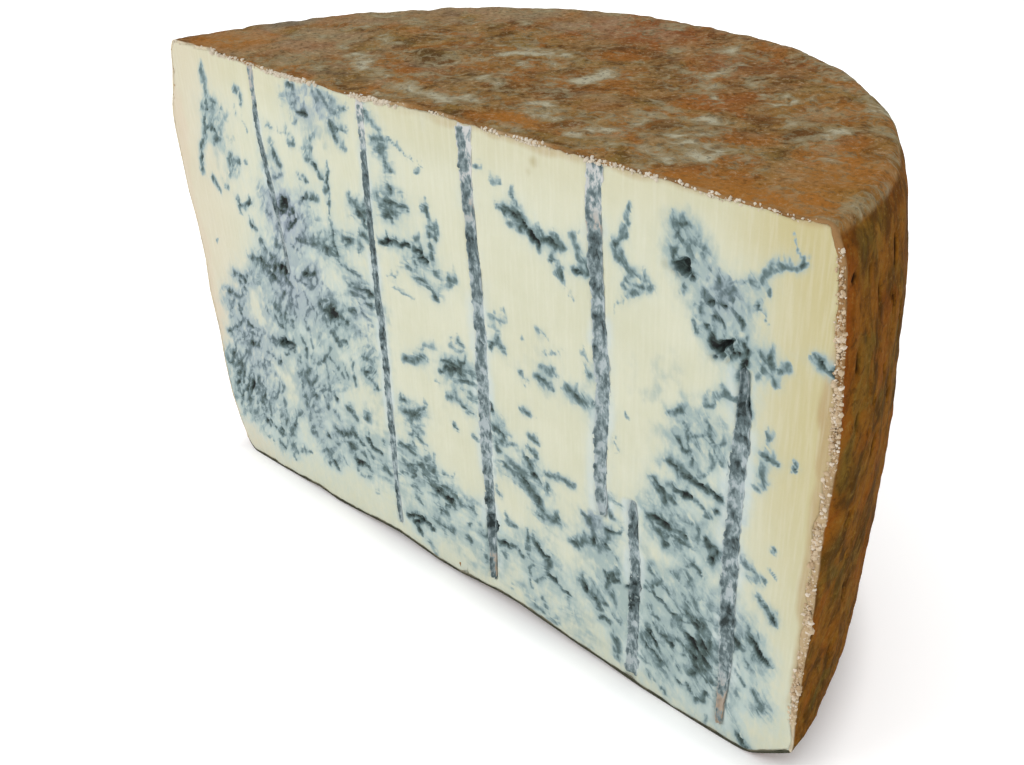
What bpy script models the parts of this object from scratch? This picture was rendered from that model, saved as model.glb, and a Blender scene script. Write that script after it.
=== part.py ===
"""Half wheel of blue cheese, cut through its axis and standing on its underside.

The wheel is one solid: a low barrel with soft shoulders, a slightly hollow underside
and a flat upright cut. Six needle channels and a few open mould pockets are sunk in the cut.
Metres, +Z up. The origin is under the middle of the half wheel, +X runs along the cut,
and the cut looks towards -Y.
"""

from math import pi, radians

import bmesh
import bpy
import numpy as np
from mathutils import Matrix

MM = 0.001

# The wheel before it was cut
RADIUS = 130.8 * MM
HEIGHT = 162.6 * MM
WAIST_HEIGHT = 80 * MM
BARREL_POWER = 2.5
TOP_LEAN = -0.012
TOP_WAVE = 0.7 * MM
SIDE_WAVE = 0.6 * MM

# Sizes at the right of the cut, at the back and at the left of the cut.
# Barrel: how much smaller the wheel is at its top and foot than at its waist.
# Shoulders: how far they reach inwards, how far along the side, and how full they are.
TOP_BARREL = (3.8 * MM, 6.2 * MM, 1.4 * MM)
FOOT_BARREL = (3.0 * MM, 4.0 * MM, 1.4 * MM)
TOP_SHOULDER_WIDTH = (5 * MM, 7.5 * MM, 8 * MM)
TOP_SHOULDER_DROP = (10 * MM, 11 * MM, 30 * MM)
TOP_FULLNESS = (2.0, 2.0, 1.5)
FOOT_WIDTH = (8 * MM, 10 * MM, 11 * MM)
FOOT_RISE = (8 * MM, 14 * MM, 24 * MM)
FOOT_FULLNESS = (2.0, 2.0, 1.8)

# The underside: a flat ring to stand on, round a shallow hollow
RING_INNER = 104 * MM
HOLLOW_DEPTH = 6.4 * MM
HOLLOW_POWER = 1.2

# Needle channels in the cut: width, then (distance from the axis, height) down the channel
CHANNEL_DEPTH_SHARE = 0.3
CHANNELS = {
    "far_left": (2.6, ((-78.5, 170), (-79.6, 140), (-77, 120), (-75, 92))),
    "left": (2.8, ((-25.7, 170), (-27.2, 128), (-27.5, 75), (-28.8, 32), (-29.2, 8))),
    "middle": (4.6, ((16.5, 170), (15.9, 148), (17.8, 102), (17.2, 60), (17.5, 30), (16.8, 8))),
    "right": (4.8, ((60.2, 170), (60.1, 143), (62.9, 100), (62.2, 70), (62.8, 57))),
    "from_below": (4.0, ((73.4, 68), (75, 38), (74, -4))),
    "far_right": (4.6, ((105, 121), (105.6, 105), (105, 70), (106, 34), (105.1, 4))),
}

# Open pockets in the cut: distance from the axis, height, half width, half height, depth
POCKETS = {
    "left": (-83.5, 62, 4.5, 2.2, 3.5),
    "low": (-16.4, 14.5, 2.8, 2.4, 3.0),
    "in_middle_channel": (17.4, 29, 1.5, 5.5, 4.0),
    "in_low_channel": (74.8, 37, 1.5, 4.5, 3.5),
    "high_right": (87, 141, 2.2, 2.6, 2.5),
    "right": (99, 124.5, 3.0, 2.2, 3.0),
}
POCKET_TILT = radians(17)

# How finely the surfaces are divided
SECTIONS = 61
BASE_POINTS = 9
CORNER_POINTS = 7
SIDE_POINTS = 13
TOP_POINTS = 11
TUBE_SIDES = 10
TUBE_STEP = 12 * MM


def principled(name, colour, roughness):
    """A plain material with the colour and roughness of the real surface."""
    material = bpy.data.materials.new(name)
    material.use_nodes = True
    shader = material.node_tree.nodes["Principled BSDF"]
    shader.inputs["Base Color"].default_value = (*colour, 1.0)
    shader.inputs["Roughness"].default_value = roughness
    shader.inputs["Metallic"].default_value = 0.0
    return material


def round_the_wheel(values, angle):
    """A size that changes smoothly from the right of the cut, over the back, to the left."""
    right, back, left = values
    along_cut = np.cos(angle)
    side = np.where(along_cut > 0, right, left)
    return back + (side - back) * along_cut ** 4


def reach(angle, height):
    """Radius of the side: a low barrel, with the dents that the cloth and shelf left."""
    rise = (height - WAIST_HEIGHT) / (HEIGHT / 2)
    upper = round_the_wheel(TOP_BARREL, angle)
    lower = round_the_wheel(FOOT_BARREL, angle)
    narrowing = np.where(rise > 0, upper, lower) * abs(rise) ** BARREL_POWER
    dents = 0.6 * np.sin(3 * angle + 0.8) * np.cos(height / (16 * MM))
    dents += 0.4 * np.sin(8 * angle + height / (22 * MM) + 2.0)
    return RADIUS - narrowing + SIDE_WAVE * (dents - 1)


def top_height(x, depth):
    """Height of the top: a slight lean along the cut and a low swell."""
    swell = 0.6 * np.sin(x / (19 * MM) + 0.9) * np.cos(depth / (31 * MM))
    swell += 0.4 * np.sin(depth / (17 * MM) + x / (47 * MM))
    return HEIGHT + TOP_LEAN * x + TOP_WAVE * swell


def underside_height(radius):
    """Height of the underside: a shallow hollow inside the flat ring."""
    inside = np.clip(1 - (radius / RING_INNER) ** 2, 0, 1)
    return HOLLOW_DEPTH * inside ** HOLLOW_POWER


def shoulder(fullness):
    """A quarter of a superellipse from the flat (0, 0) to the side (1, 1), as two arrays."""
    turn = np.linspace(0, pi / 2, CORNER_POINTS)
    outwards = np.sin(turn) ** (2 / fullness)
    along = 1 - np.cos(turn) ** (2 / fullness)
    return outwards, along


def section(angle):
    """Radii and heights of one upright section, from the axis below to the axis on top."""
    foot_width = round_the_wheel(FOOT_WIDTH, angle)
    foot_rise = round_the_wheel(FOOT_RISE, angle)
    outwards, upwards = shoulder(round_the_wheel(FOOT_FULLNESS, angle))
    foot_z = foot_rise * upwards
    foot_r = reach(angle, foot_z) - foot_width * (1 - outwards)

    width = round_the_wheel(TOP_SHOULDER_WIDTH, angle)
    drop = round_the_wheel(TOP_SHOULDER_DROP, angle)
    outwards, downwards = shoulder(round_the_wheel(TOP_FULLNESS, angle))
    flat_r = reach(angle, HEIGHT) - width
    rim_z = top_height(flat_r * np.cos(angle), flat_r * np.sin(angle))
    top_z = (rim_z - drop * downwards)[::-1]
    top_r = reach(angle, top_z) - width * (1 - outwards[::-1])

    hollow_r = np.linspace(0, RING_INNER, BASE_POINTS)
    side_z = np.linspace(foot_z[-1], top_z[0], SIDE_POINTS + 1)[1:-1]
    in_r = np.linspace(top_r[-1], 0, TOP_POINTS + 1)[1:]
    in_z = top_height(in_r * np.cos(angle), in_r * np.sin(angle))
    radii = np.concatenate([hollow_r, foot_r, reach(angle, side_z), top_r, in_r])
    heights = np.concatenate([underside_height(hollow_r), foot_z, side_z, top_z, in_z])
    return radii, heights


def half_wheel(name, cut_y):
    """The half wheel: upright sections joined round the axis, closed by the flat cut."""
    shape = bmesh.new()
    below = shape.verts.new((0, cut_y, underside_height(0)))
    above = shape.verts.new((0, cut_y, top_height(0, 0)))
    rows = []
    for angle in np.linspace(0, pi, SECTIONS):
        radii, heights = section(angle)
        across = radii[1:-1] * np.cos(angle)
        back = radii[1:-1] * np.sin(angle) * (0 < angle < pi)
        points = zip(across, back + cut_y, heights[1:-1])
        rows.append([below] + [shape.verts.new(point) for point in points] + [above])
    for row, following in zip(rows, rows[1:]):
        for j in range(len(row) - 1):
            corners = [row[j], following[j], following[j + 1], row[j + 1]]
            shape.faces.new(list(dict.fromkeys(corners)))
    shape.faces.new(rows[0] + rows[-1][-2:0:-1])
    return mesh_object(name, shape)


def mesh_object(name, shape):
    """Turns a finished bmesh's faces outwards and puts it into a new object."""
    bmesh.ops.recalc_face_normals(shape, faces=shape.faces)
    mesh = bpy.data.meshes.new(name)
    shape.to_mesh(mesh)
    shape.free()
    made = bpy.data.objects.new(name, mesh)
    bpy.context.scene.collection.objects.link(made)
    return made


def channel_cutter(name, cut_y, width, route):
    """A round rod whose far side sinks into the cut and leaves a half-open needle channel."""
    points = np.array(route) * MM
    depth = width * CHANNEL_DEPTH_SHARE
    radius = (width ** 2 / 4 + depth ** 2) / (2 * depth)
    length = points[0, 1] - points[-1, 1]
    heights = np.linspace(points[0, 1], points[-1, 1], round(length / TUBE_STEP))
    across = np.interp(-heights, -points[:, 1], points[:, 0])
    turn = (np.arange(TUBE_SIDES) + 0.5) * 2 * pi / TUBE_SIDES
    away = cut_y - radius + depth + radius * np.sin(turn)
    shape = bmesh.new()
    rings = []
    for x, z in zip(across, heights):
        ring = zip(x + radius * np.cos(turn), away)
        rings.append([shape.verts.new((px, py, z)) for px, py in ring])
    for ring, following in zip(rings, rings[1:]):
        for j in range(TUBE_SIDES):
            k = (j + 1) % TUBE_SIDES
            shape.faces.new([ring[j], ring[k], following[k], following[j]])
    shape.faces.new(rings[0])
    shape.faces.new(rings[-1])
    return mesh_object(name, shape)


def pocket_cutter(name, cut_y, x, z, half_width, half_height, depth):
    """A small ellipsoid centred on the cut, for a pocket where the mould left a hole."""
    shape = bmesh.new()
    bmesh.ops.create_icosphere(shape, subdivisions=2, radius=1.0)
    bmesh.ops.rotate(shape, verts=shape.verts, matrix=Matrix.Rotation(POCKET_TILT, 3, "X"))
    bmesh.ops.scale(shape, verts=shape.verts, vec=(half_width, depth, half_height))
    bmesh.ops.translate(shape, verts=shape.verts, vec=(x, cut_y, z))
    return mesh_object(name, shape)


def cut_out(body, cutter):
    """Takes the cutter's shape out of the body and hides the cutter."""
    cutter.hide_render = True
    cutter.display_type = "WIRE"
    cut = body.modifiers.new(cutter.name, "BOOLEAN")
    cut.operation = "DIFFERENCE"
    cut.solver = "EXACT"
    cut.object = cutter


for old in list(bpy.data.objects):
    bpy.data.objects.remove(old, do_unlink=True)

deepest = max(section(pi / 2)[0])
CUT_Y = -deepest / 2
cheese = half_wheel("blue_cheese_half_wheel", CUT_Y)
cheese.data.materials.append(principled("cheese_paste", (0.80, 0.76, 0.58), 0.55))
for title, (channel_width, path) in CHANNELS.items():
    cut_out(cheese, channel_cutter("needle_channel_" + title, CUT_Y, channel_width * MM, path))
for title, sizes in POCKETS.items():
    cut_out(cheese, pocket_cutter("mould_pocket_" + title, CUT_Y, *(MM * size for size in sizes)))
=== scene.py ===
# %% [markdown]
# # Half wheel of blue cheese
# A wheel of blue cheese is a drum of pale paste inside a thin brown rind. Long needles let air
# into the wheel, and blue mould grows along the needle channels and in the cracks of the curd.
# This lesson dresses a plain half wheel: it adds the paste with its marbling, the rind,
# the grey mould in the channels and the crumbs that the knife leaves.
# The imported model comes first, because every piece is placed in its frame.

import bpy
import numpy as np
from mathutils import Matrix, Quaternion, Vector


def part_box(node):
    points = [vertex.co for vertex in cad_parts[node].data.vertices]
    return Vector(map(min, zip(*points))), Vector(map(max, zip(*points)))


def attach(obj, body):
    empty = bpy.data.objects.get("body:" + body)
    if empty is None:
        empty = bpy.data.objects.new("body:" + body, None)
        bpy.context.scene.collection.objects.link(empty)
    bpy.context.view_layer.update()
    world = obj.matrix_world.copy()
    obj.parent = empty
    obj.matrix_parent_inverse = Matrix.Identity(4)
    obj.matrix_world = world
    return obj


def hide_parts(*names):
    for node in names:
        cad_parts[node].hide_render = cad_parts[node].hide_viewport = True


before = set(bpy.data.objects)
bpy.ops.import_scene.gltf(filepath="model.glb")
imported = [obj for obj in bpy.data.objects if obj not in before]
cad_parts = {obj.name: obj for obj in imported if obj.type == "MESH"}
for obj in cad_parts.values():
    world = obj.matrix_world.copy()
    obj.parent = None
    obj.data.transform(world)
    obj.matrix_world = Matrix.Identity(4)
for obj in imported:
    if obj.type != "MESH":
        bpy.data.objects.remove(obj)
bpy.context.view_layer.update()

MM = 0.001
low_corner, high_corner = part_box("blue_cheese_half_wheel")
print("half wheel from", tuple(low_corner), "to", tuple(high_corner))

# %% [markdown]
# ## The shape of the wheel
# The real wheel is a low barrel: it sags a little, so its waist is wider than its top, and its
# shoulders are soft. The solid was made from a few named sizes and formulas. A scene could
# read the solid's mesh, but that mesh is coarse. The same formulas are written down here again,
# because they give the surface at any fineness.

# %% Sizes of the wheel
RADIUS = 130.8 * MM
HEIGHT = 162.6 * MM
WAIST_HEIGHT = 80 * MM
BARREL_POWER = 2.5
TOP_LEAN = -0.012
TOP_WAVE = 0.7 * MM
SIDE_WAVE = 0.6 * MM
TOP_BARREL = (3.8 * MM, 6.2 * MM, 1.4 * MM)
FOOT_BARREL = (3.0 * MM, 4.0 * MM, 1.4 * MM)
TOP_SHOULDER_WIDTH = (5 * MM, 7.5 * MM, 8 * MM)
TOP_SHOULDER_DROP = (10 * MM, 11 * MM, 30 * MM)
TOP_FULLNESS = (2.0, 2.0, 1.5)
FOOT_WIDTH = (8 * MM, 10 * MM, 11 * MM)
FOOT_RISE = (8 * MM, 14 * MM, 24 * MM)
FOOT_FULLNESS = (2.0, 2.0, 1.8)
RING_INNER = 104 * MM
HOLLOW_DEPTH = 6.4 * MM
HOLLOW_POWER = 1.2


# %% Formulas of the wheel
def round_the_wheel(values, angle):
    """A size that changes smoothly from the right of the cut, over the back, to the left.
    Formula: the back value, plus the side's difference times the cosine to the fourth power."""
    right, back, left = values
    along_cut = np.cos(angle)
    side = np.where(along_cut > 0, right, left)
    return back + (side - back) * along_cut ** 4


def reach(angle, height):
    """Radius of the side: the waist radius, less a power of the distance from the waist,
    with two low waves for the dents that the cloth and the shelf left."""
    rise = (height - WAIST_HEIGHT) / (HEIGHT / 2)
    upper = round_the_wheel(TOP_BARREL, angle)
    lower = round_the_wheel(FOOT_BARREL, angle)
    narrowing = np.where(rise > 0, upper, lower) * abs(rise) ** BARREL_POWER
    dents = 0.6 * np.sin(3 * angle + 0.8) * np.cos(height / (16 * MM))
    dents += 0.4 * np.sin(8 * angle + height / (22 * MM) + 2.0)
    return RADIUS - narrowing + SIDE_WAVE * (dents - 1)


def top_height(x, depth):
    """Height of the top: a slight lean along the cut and a low swell of three sines."""
    swell = 0.6 * np.sin(x / (19 * MM) + 0.9) * np.cos(depth / (31 * MM))
    swell += 0.4 * np.sin(depth / (17 * MM) + x / (47 * MM))
    return HEIGHT + TOP_LEAN * x + TOP_WAVE * swell


def underside_height(radius):
    """Height of the underside: a shallow hollow inside the ring that the wheel stands on.
    Formula: the depth times (1 - (radius / ring)^2) to a power."""
    inside = np.clip(1 - (radius / RING_INNER) ** 2, 0, 1)
    return HOLLOW_DEPTH * inside ** HOLLOW_POWER


CUT_Y = low_corner.y
print("cut plane at", round(CUT_Y / MM, 2), "mm")

# %% [markdown]
# ## Unevenness
# Nothing on a cheese is smooth: the cloth, the brush and the mould all leave lumps, at sizes
# from 30 mm down to the grain. It could be sculpted by hand. Here it is lattice noise, which
# gives the same lumps at every run and has a real size in millimetres.


# %% Noise
# The random numbers repeat after this many cells of the lattice
LATTICE_CELLS = 48


def lattice_noise(points, size, seed):
    """Smooth random values from -1 to 1. Formula: each corner of a lattice with cells of the
    given size holds a random number, and a point blends the corners round it with 3t^2 - 2t^3."""
    points = np.asarray(points) / size
    table = np.random.default_rng(seed).uniform(-1, 1, (LATTICE_CELLS,) * points.shape[-1])
    low = np.floor(points).astype(int)
    part = points - low
    part = part * part * (3 - 2 * part)
    total = np.zeros(points.shape[:-1])
    for corner in np.ndindex((2,) * points.shape[-1]):
        weight = np.prod(np.where(corner, part, 1 - part), axis=-1)
        total += weight * table[tuple(np.moveaxis((low + corner) % LATTICE_CELLS, -1, 0))]
    return total


def rough(points, size, seed, octaves=3):
    """Noise with finer and finer layers: each is half as large and adds half as much."""
    layers = [lattice_noise(points, size / 2 ** k, seed + k) / 2 ** k for k in range(octaves)]
    return 1.4 * sum(layers)


def smooth_step(value, low, high):
    """0 below low, 1 above high, and 3t^2 - 2t^3 between them."""
    part = np.clip((value - low) / (high - low), 0, 1)
    return part * part * (3 - 2 * part)


# %% [markdown]
# ## Grids that fill an outline
# The top of the half wheel is a half disc, and the cut is nearly a rectangle with round
# corners. A fan of triangles from the middle would pinch there. A Coons patch spreads an even
# grid between four edge curves, and gives small squares all over.


# %% Patches and meshes
def coons_patch(bottom, top, left, right):
    """Fills four edge curves with a grid. Formula: the blend of bottom and top, plus the blend
    of left and right, less the blend of the four corners."""
    u = np.linspace(0, 1, len(bottom))[None, :, None]
    v = np.linspace(0, 1, len(left))[:, None, None]
    upwards = (1 - v) * bottom[None] + v * top[None]
    across = (1 - u) * left[:, None] + u * right[:, None]
    low = (1 - u) * bottom[0] + u * bottom[-1]
    high = (1 - u) * top[0] + u * top[-1]
    return upwards + across - (1 - v) * low - v * high


def grid_faces(rows, columns, first=0, flip=False):
    """The two triangles of every square of a grid whose points are numbered row by row."""
    corner = first + np.arange(rows - 1)[:, None] * columns + np.arange(columns - 1)
    a, b, c, d = corner, corner + 1, corner + columns + 1, corner + columns
    faces = np.stack([a, b, c, a, c, d], -1).reshape(-1, 3)
    return faces[:, ::-1] if flip else faces


def weld(patches, with_rows=False):
    """Joins grids into one net of points and triangles. Points at the same place become one,
    and triangles that have shrunk to a line are dropped. The rows say where each point came from."""
    points = np.concatenate([grid.reshape(-1, 3) for grid, _ in patches])
    firsts = np.cumsum([0] + [grid.shape[0] * grid.shape[1] for grid, _ in patches])
    faces = [grid_faces(*grid.shape[:2], first, flip) for (grid, flip), first in zip(patches, firsts)]
    points, faces, kept = join_points(points, np.concatenate(faces))
    return (points, faces, kept) if with_rows else (points, faces)


def number_places(points):
    """The row of each place's first point, and the number of each point's place. Places are
    the same when they are equal to a ten-thousandth of a millimetre."""
    places = np.round(points / (0.0001 * MM)).astype(np.int64)
    _, first, number = np.unique(places, axis=0, return_index=True, return_inverse=True)
    return first, number.reshape(-1)


def join_points(points, faces):
    """Makes one point of all points at one place, and drops the faces that become a line."""
    kept, number = number_places(points)
    faces = number[faces]
    different = (faces != np.roll(faces, 1, axis=1)).all(axis=1)
    return points[kept], faces[different], kept


def rows_of(places, points):
    """Rows of the points that lie at the given places. Formula: points and places are numbered
    together, and the first row of a place's number is its point."""
    first, number = number_places(np.concatenate([points, places]))
    return first[number[len(points):]]


def point_normals(points, faces):
    """Direction of the surface at each point: the sum of its triangles' cross products."""
    a, b, c = points[faces].transpose(1, 0, 2)
    crosses = np.cross(b - a, c - a)
    total = np.zeros_like(points)
    for k in range(3):
        np.add.at(total, faces[:, k], crosses)
    return total / np.maximum(np.linalg.norm(total, axis=1, keepdims=True), 1e-20)


def make_piece(name, points, faces, attributes):
    """Puts points and triangles into a new smooth mesh object, with a number for each point."""
    mesh = bpy.data.meshes.new(name)
    mesh.vertices.add(len(points))
    mesh.vertices.foreach_set("co", np.ascontiguousarray(points, dtype=np.float32).ravel())
    mesh.loops.add(faces.size)
    mesh.loops.foreach_set("vertex_index", faces.astype(np.int32).ravel())
    mesh.polygons.add(len(faces))
    mesh.polygons.foreach_set("loop_start", np.arange(0, faces.size, 3, dtype=np.int32))
    mesh.update(calc_edges=True)
    mesh.polygons.foreach_set("use_smooth", np.ones(len(faces), dtype=bool))
    for title, values in attributes.items():
        layer = mesh.attributes.new(title, "FLOAT", "POINT")
        layer.data.foreach_set("value", values.astype(np.float32))
    piece = bpy.data.objects.new(name, mesh)
    bpy.context.scene.collection.objects.link(piece)
    a, b, c = points[faces].transpose(1, 0, 2)
    volume = np.einsum("ij,ij->", a, np.cross(b, c)) / 6
    edges = np.sort(np.concatenate([faces[:, :2], faces[:, 1:], faces[:, ::2]]), axis=1)
    uses = np.unique(edges, axis=0, return_counts=True)[1]
    print(name, len(faces), "triangles,", round(volume * 1e6, 1), "cm3, open edges", (uses != 2).sum())
    return piece


# %% [markdown]
# ## Camera, lights and floor
# A cheese for a price list stands on white under big soft lamps, so that the paste keeps its
# own colour. A sun lamp would make hard shadows. A white sky gives the even light, and one
# large lamp at the upper left of the cut makes the right side darker, which shows the form.

# %% Camera
CAMERA_PLACE = Vector((221.33, -258.43, 251.5)) * MM
CAMERA_AZIMUTH = np.radians(44.73)
CAMERA_ELEVATION = np.radians(30.87)
CAMERA_ROLL = np.radians(-2.724)
CAMERA_LENS = 39.0
flat = np.cos(CAMERA_ELEVATION)
ahead = Vector((-np.sin(CAMERA_AZIMUTH) * flat, np.cos(CAMERA_AZIMUTH) * flat, -np.sin(CAMERA_ELEVATION)))
camera = bpy.data.objects.new("camera", bpy.data.cameras.new("camera"))
camera.data.lens = CAMERA_LENS
camera.data.clip_start = 0.02
camera.location = CAMERA_PLACE
camera.rotation_mode = "QUATERNION"
camera.rotation_quaternion = ahead.to_track_quat("-Z", "Y") @ Quaternion((0, 0, 1), CAMERA_ROLL)
bpy.context.scene.collection.objects.link(camera)
bpy.context.scene.camera = camera
bpy.context.scene.view_settings.view_transform = "Standard"
print("camera at", tuple(round(v, 3) for v in camera.location))


# %% Helpers for materials
def linear(hex_colour):
    """An sRGB hex colour as the linear colour that the renderer wants."""
    parts = np.array([int(hex_colour[k:k + 2], 16) for k in (0, 2, 4)]) / 255
    made = np.where(parts < 0.04045, parts / 12.92, ((parts + 0.055) / 1.055) ** 2.4)
    return (*made.tolist(), 1.0)


def per(size_in_mm):
    """Scale of a noise whose lumps have this real size, for coordinates in metres."""
    return 1 / (size_in_mm * MM)


def fill_sockets(tree, node, inputs):
    """Fills the sockets of a node: another node's output is linked, anything else is a value."""
    for title, value in inputs.items():
        if isinstance(value, bpy.types.NodeSocket):
            tree.links.new(value, node.inputs[title])
        else:
            node.inputs[title].default_value = value


def add_node(tree, kind, inputs=None, output=0, **settings):
    """Adds one node, fills its sockets with the inputs and gives back one of its outputs.
    The other words are the node's settings."""
    node = tree.nodes.new(kind)
    for title, value in settings.items():
        setattr(node, title, value)
    fill_sockets(tree, node, inputs or {})
    return node.outputs[output]


COORDINATES, MAPPING, NOISE = "ShaderNodeTexCoord", "ShaderNodeMapping", "ShaderNodeTexNoise"
ATTRIBUTE, MATH, LIMITS, MIX = "ShaderNodeAttribute", "ShaderNodeMath", "ShaderNodeMapRange", "ShaderNodeMix"
BUMP, VECTOR_MATH, SEPARATE = "ShaderNodeBump", "ShaderNodeVectorMath", "ShaderNodeSeparateXYZ"
MESH_NUMBER, OBJECT_PLACE, MIXED_COLOUR = 2, 3, 2


def cover(tree, below, above, amount, low, high, most=1.0, least=0.0):
    """Covers one colour with another, softly, while an amount goes from low to high.
    The cover starts at the share least and ends at the share most."""
    share = add_node(tree, LIMITS, {"Value": amount, "From Min": low, "From Max": high, "To Min": least,
                                    "To Max": most}, interpolation_type="SMOOTHSTEP")
    below, above = (linear(c) if isinstance(c, str) else c for c in (below, above))
    return add_node(tree, MIX, {0: share, 6: below, 7: above}, output=MIXED_COLOUR, data_type="RGBA")


def coats(tree, below, layers):
    """Covers a colour with one layer after another. Each layer is what cover wants next: its
    colour, amount, low and high, and if need be the most and the least."""
    for layer in layers:
        below = cover(tree, below, *layer)
    return below


def new_material(name):
    """Makes a material and gives it back with its node tree and its shader."""
    material = bpy.data.materials.new(name)
    material.use_nodes = True
    return material, material.node_tree, material.node_tree.nodes["Principled BSDF"]


# %% Floor, sky and lamp
PAINTED_FLOOR_GLOW = 0.28
UNLIT_RADIUS = 124 * MM
GLOW_FADE = 14 * MM
floor_points = coons_patch(*(np.array(edge, float) for edge in (
    [(-4, -4, 0), (4, -4, 0)], [(-4, 4, 0), (4, 4, 0)], [(-4, -4, 0), (-4, 4, 0)], [(4, -4, 0), (4, 4, 0)])))
floor = make_piece("floor", floor_points.reshape(-1, 3), grid_faces(2, 2), {})
# White floor with a painted glow: its emission fills in the shadows so that none greys it, but close to the
# cheese it doesn't glow
sheet, tree, shader = new_material("matt_white_floor_with_painted_glow")
place = add_node(tree, COORDINATES, output=OBJECT_PLACE)
from_axis = add_node(tree, VECTOR_MATH, {0: place, 1: (0, -CUT_Y, 0)}, operation="ADD")
from_rind = add_node(tree, VECTOR_MATH, {0: from_axis}, output=1, operation="LENGTH")
from_rind = add_node(tree, MATH, {0: from_rind, 1: UNLIT_RADIUS}, operation="SUBTRACT")
backwards = add_node(tree, SEPARATE, {0: from_axis}, output=1)
from_cut = add_node(tree, MATH, {0: backwards, 1: -1.0}, operation="MULTIPLY")
clear_of_cheese = add_node(tree, MATH, {0: from_rind, 1: from_cut}, operation="MAXIMUM")
glow = add_node(tree, LIMITS, {"Value": clear_of_cheese, "From Min": 0.0, "From Max": GLOW_FADE,
                               "To Max": PAINTED_FLOOR_GLOW}, interpolation_type="SMOOTHSTEP")
fill_sockets(tree, shader, {
    "Base Color": linear("FCFCFC"), "Roughness": 0.9, "Specular IOR Level": 0.1,
    "Emission Color": (1, 1, 1, 1), "Emission Strength": glow})
floor.data.materials.append(sheet)

sky = bpy.data.worlds.new("white_sky")
sky.use_nodes = True
fill_sockets(sky.node_tree, sky.node_tree.nodes["Background"], {"Color": (1, 1, 1, 1), "Strength": 1.0})
bpy.context.scene.world = sky


def add_lamp(name, place, aim, size, power):
    """A square soft lamp at a place in metres, turned towards the point it lights. Its size is
    in metres and its power in watts."""
    lamp = bpy.data.objects.new(name, bpy.data.lights.new(name, "AREA"))
    lamp.data.size = size
    lamp.data.energy = power
    lamp.location = place
    lamp.rotation_mode = "QUATERNION"
    lamp.rotation_quaternion = (Vector(aim) - Vector(place)).to_track_quat("-Z", "Y")
    bpy.context.scene.collection.objects.link(lamp)
    return lamp


add_lamp("soft_lamp", (-0.75, -1.1, 1.15), (0, 0, 0.08), 0.9, 8)

# %% [markdown]
# ## The rind's surface
# The rind follows the whole outside of the wheel. It is laid out as three patches that share
# their edges: the side with both shoulders, the top and the underside. A skin made with a
# Solidify modifier would need the cut's rim cut off again. Here the outside, the rim that the
# knife cut and the hidden inside are grids that are welded into one closed shell.

# %% Fineness of the rind
TURNS = 361
FOOT_STEPS = 17
SIDE_STEPS = 104
SHOULDER_STEPS = 20
ACROSS_STEPS = 181


def rind_profile(angle):
    """Radius and height of the outside at one angle or many, from the ring it stands on, round
    the foot, up the side and round the shoulder. The corners are quarters of superellipses."""
    angle = np.asarray(angle, float)[:, None]
    turn = np.linspace(0, np.pi / 2, FOOT_STEPS)[None]
    fullness = round_the_wheel(FOOT_FULLNESS, angle)
    foot_z = round_the_wheel(FOOT_RISE, angle) * (1 - np.cos(turn) ** (2 / fullness))
    inset = round_the_wheel(FOOT_WIDTH, angle) * (1 - np.sin(turn) ** (2 / fullness))
    foot_r = reach(angle, foot_z) - inset
    turn = np.linspace(np.pi / 2, 0, SHOULDER_STEPS)[None]
    fullness = round_the_wheel(TOP_FULLNESS, angle)
    width = round_the_wheel(TOP_SHOULDER_WIDTH, angle)
    drop = round_the_wheel(TOP_SHOULDER_DROP, angle)
    flat_r = reach(angle, HEIGHT) - width
    rim_z = top_height(flat_r * np.cos(angle), flat_r * np.sin(angle))
    top_z = rim_z - drop * (1 - np.cos(turn) ** (2 / fullness))
    top_r = reach(angle, top_z) - width * (1 - np.sin(turn) ** (2 / fullness))
    part = np.linspace(0, 1, SIDE_STEPS + 1)[None, 1:-1]
    side_z = foot_z[:, -1:] + part * (top_z[:, :1] - foot_z[:, -1:])
    radius = np.concatenate([foot_r, reach(angle, side_z), top_r], axis=1)
    height = np.concatenate([foot_z, side_z, top_z], axis=1)
    return radius, height


# %% Three patches of the outside
angles = np.linspace(0, np.pi, TURNS)
radius, height = rind_profile(angles)
sines = np.where((angles > 0) & (angles < np.pi), np.sin(angles), 0)
side_grid = np.stack([radius * np.cos(angles)[:, None], radius * sines[:, None], height], -1)


def half_disc(rim):
    """Fills the rim of the half wheel, given from right to left, back to the straight cut."""
    quarter = (TURNS - ACROSS_STEPS) // 2
    straight = np.linspace(rim[-1], rim[0], ACROSS_STEPS)
    back = rim[quarter:quarter + ACROSS_STEPS][::-1]
    left = rim[::-1][:quarter + 1]
    return coons_patch(straight, back, left, rim[:quarter + 1])


top_grid = half_disc(side_grid[:, -1])
top_grid[:-1, 1:-1, 2] = top_height(top_grid[..., 0], top_grid[..., 1])[:-1, 1:-1]
under_grid = half_disc(side_grid[:, 0])
hollow = underside_height(np.hypot(under_grid[..., 0], under_grid[..., 1]))
under_grid[:-1, 1:-1, 2] = hollow[:-1, 1:-1]
for grid in (side_grid, top_grid, under_grid):
    grid[..., 1] += CUT_Y
print("side", side_grid.shape, "top", top_grid.shape, "underside", under_grid.shape)

# %% [markdown]
# ## Relief of the rind
# The side is wrinkled upright where the cloth was tied, and cracks and small dents stay open.
# The top is brushed and has low lumps. These are real forms that break the outline, so they
# move the points of the mesh and aren't left to the material.

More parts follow.
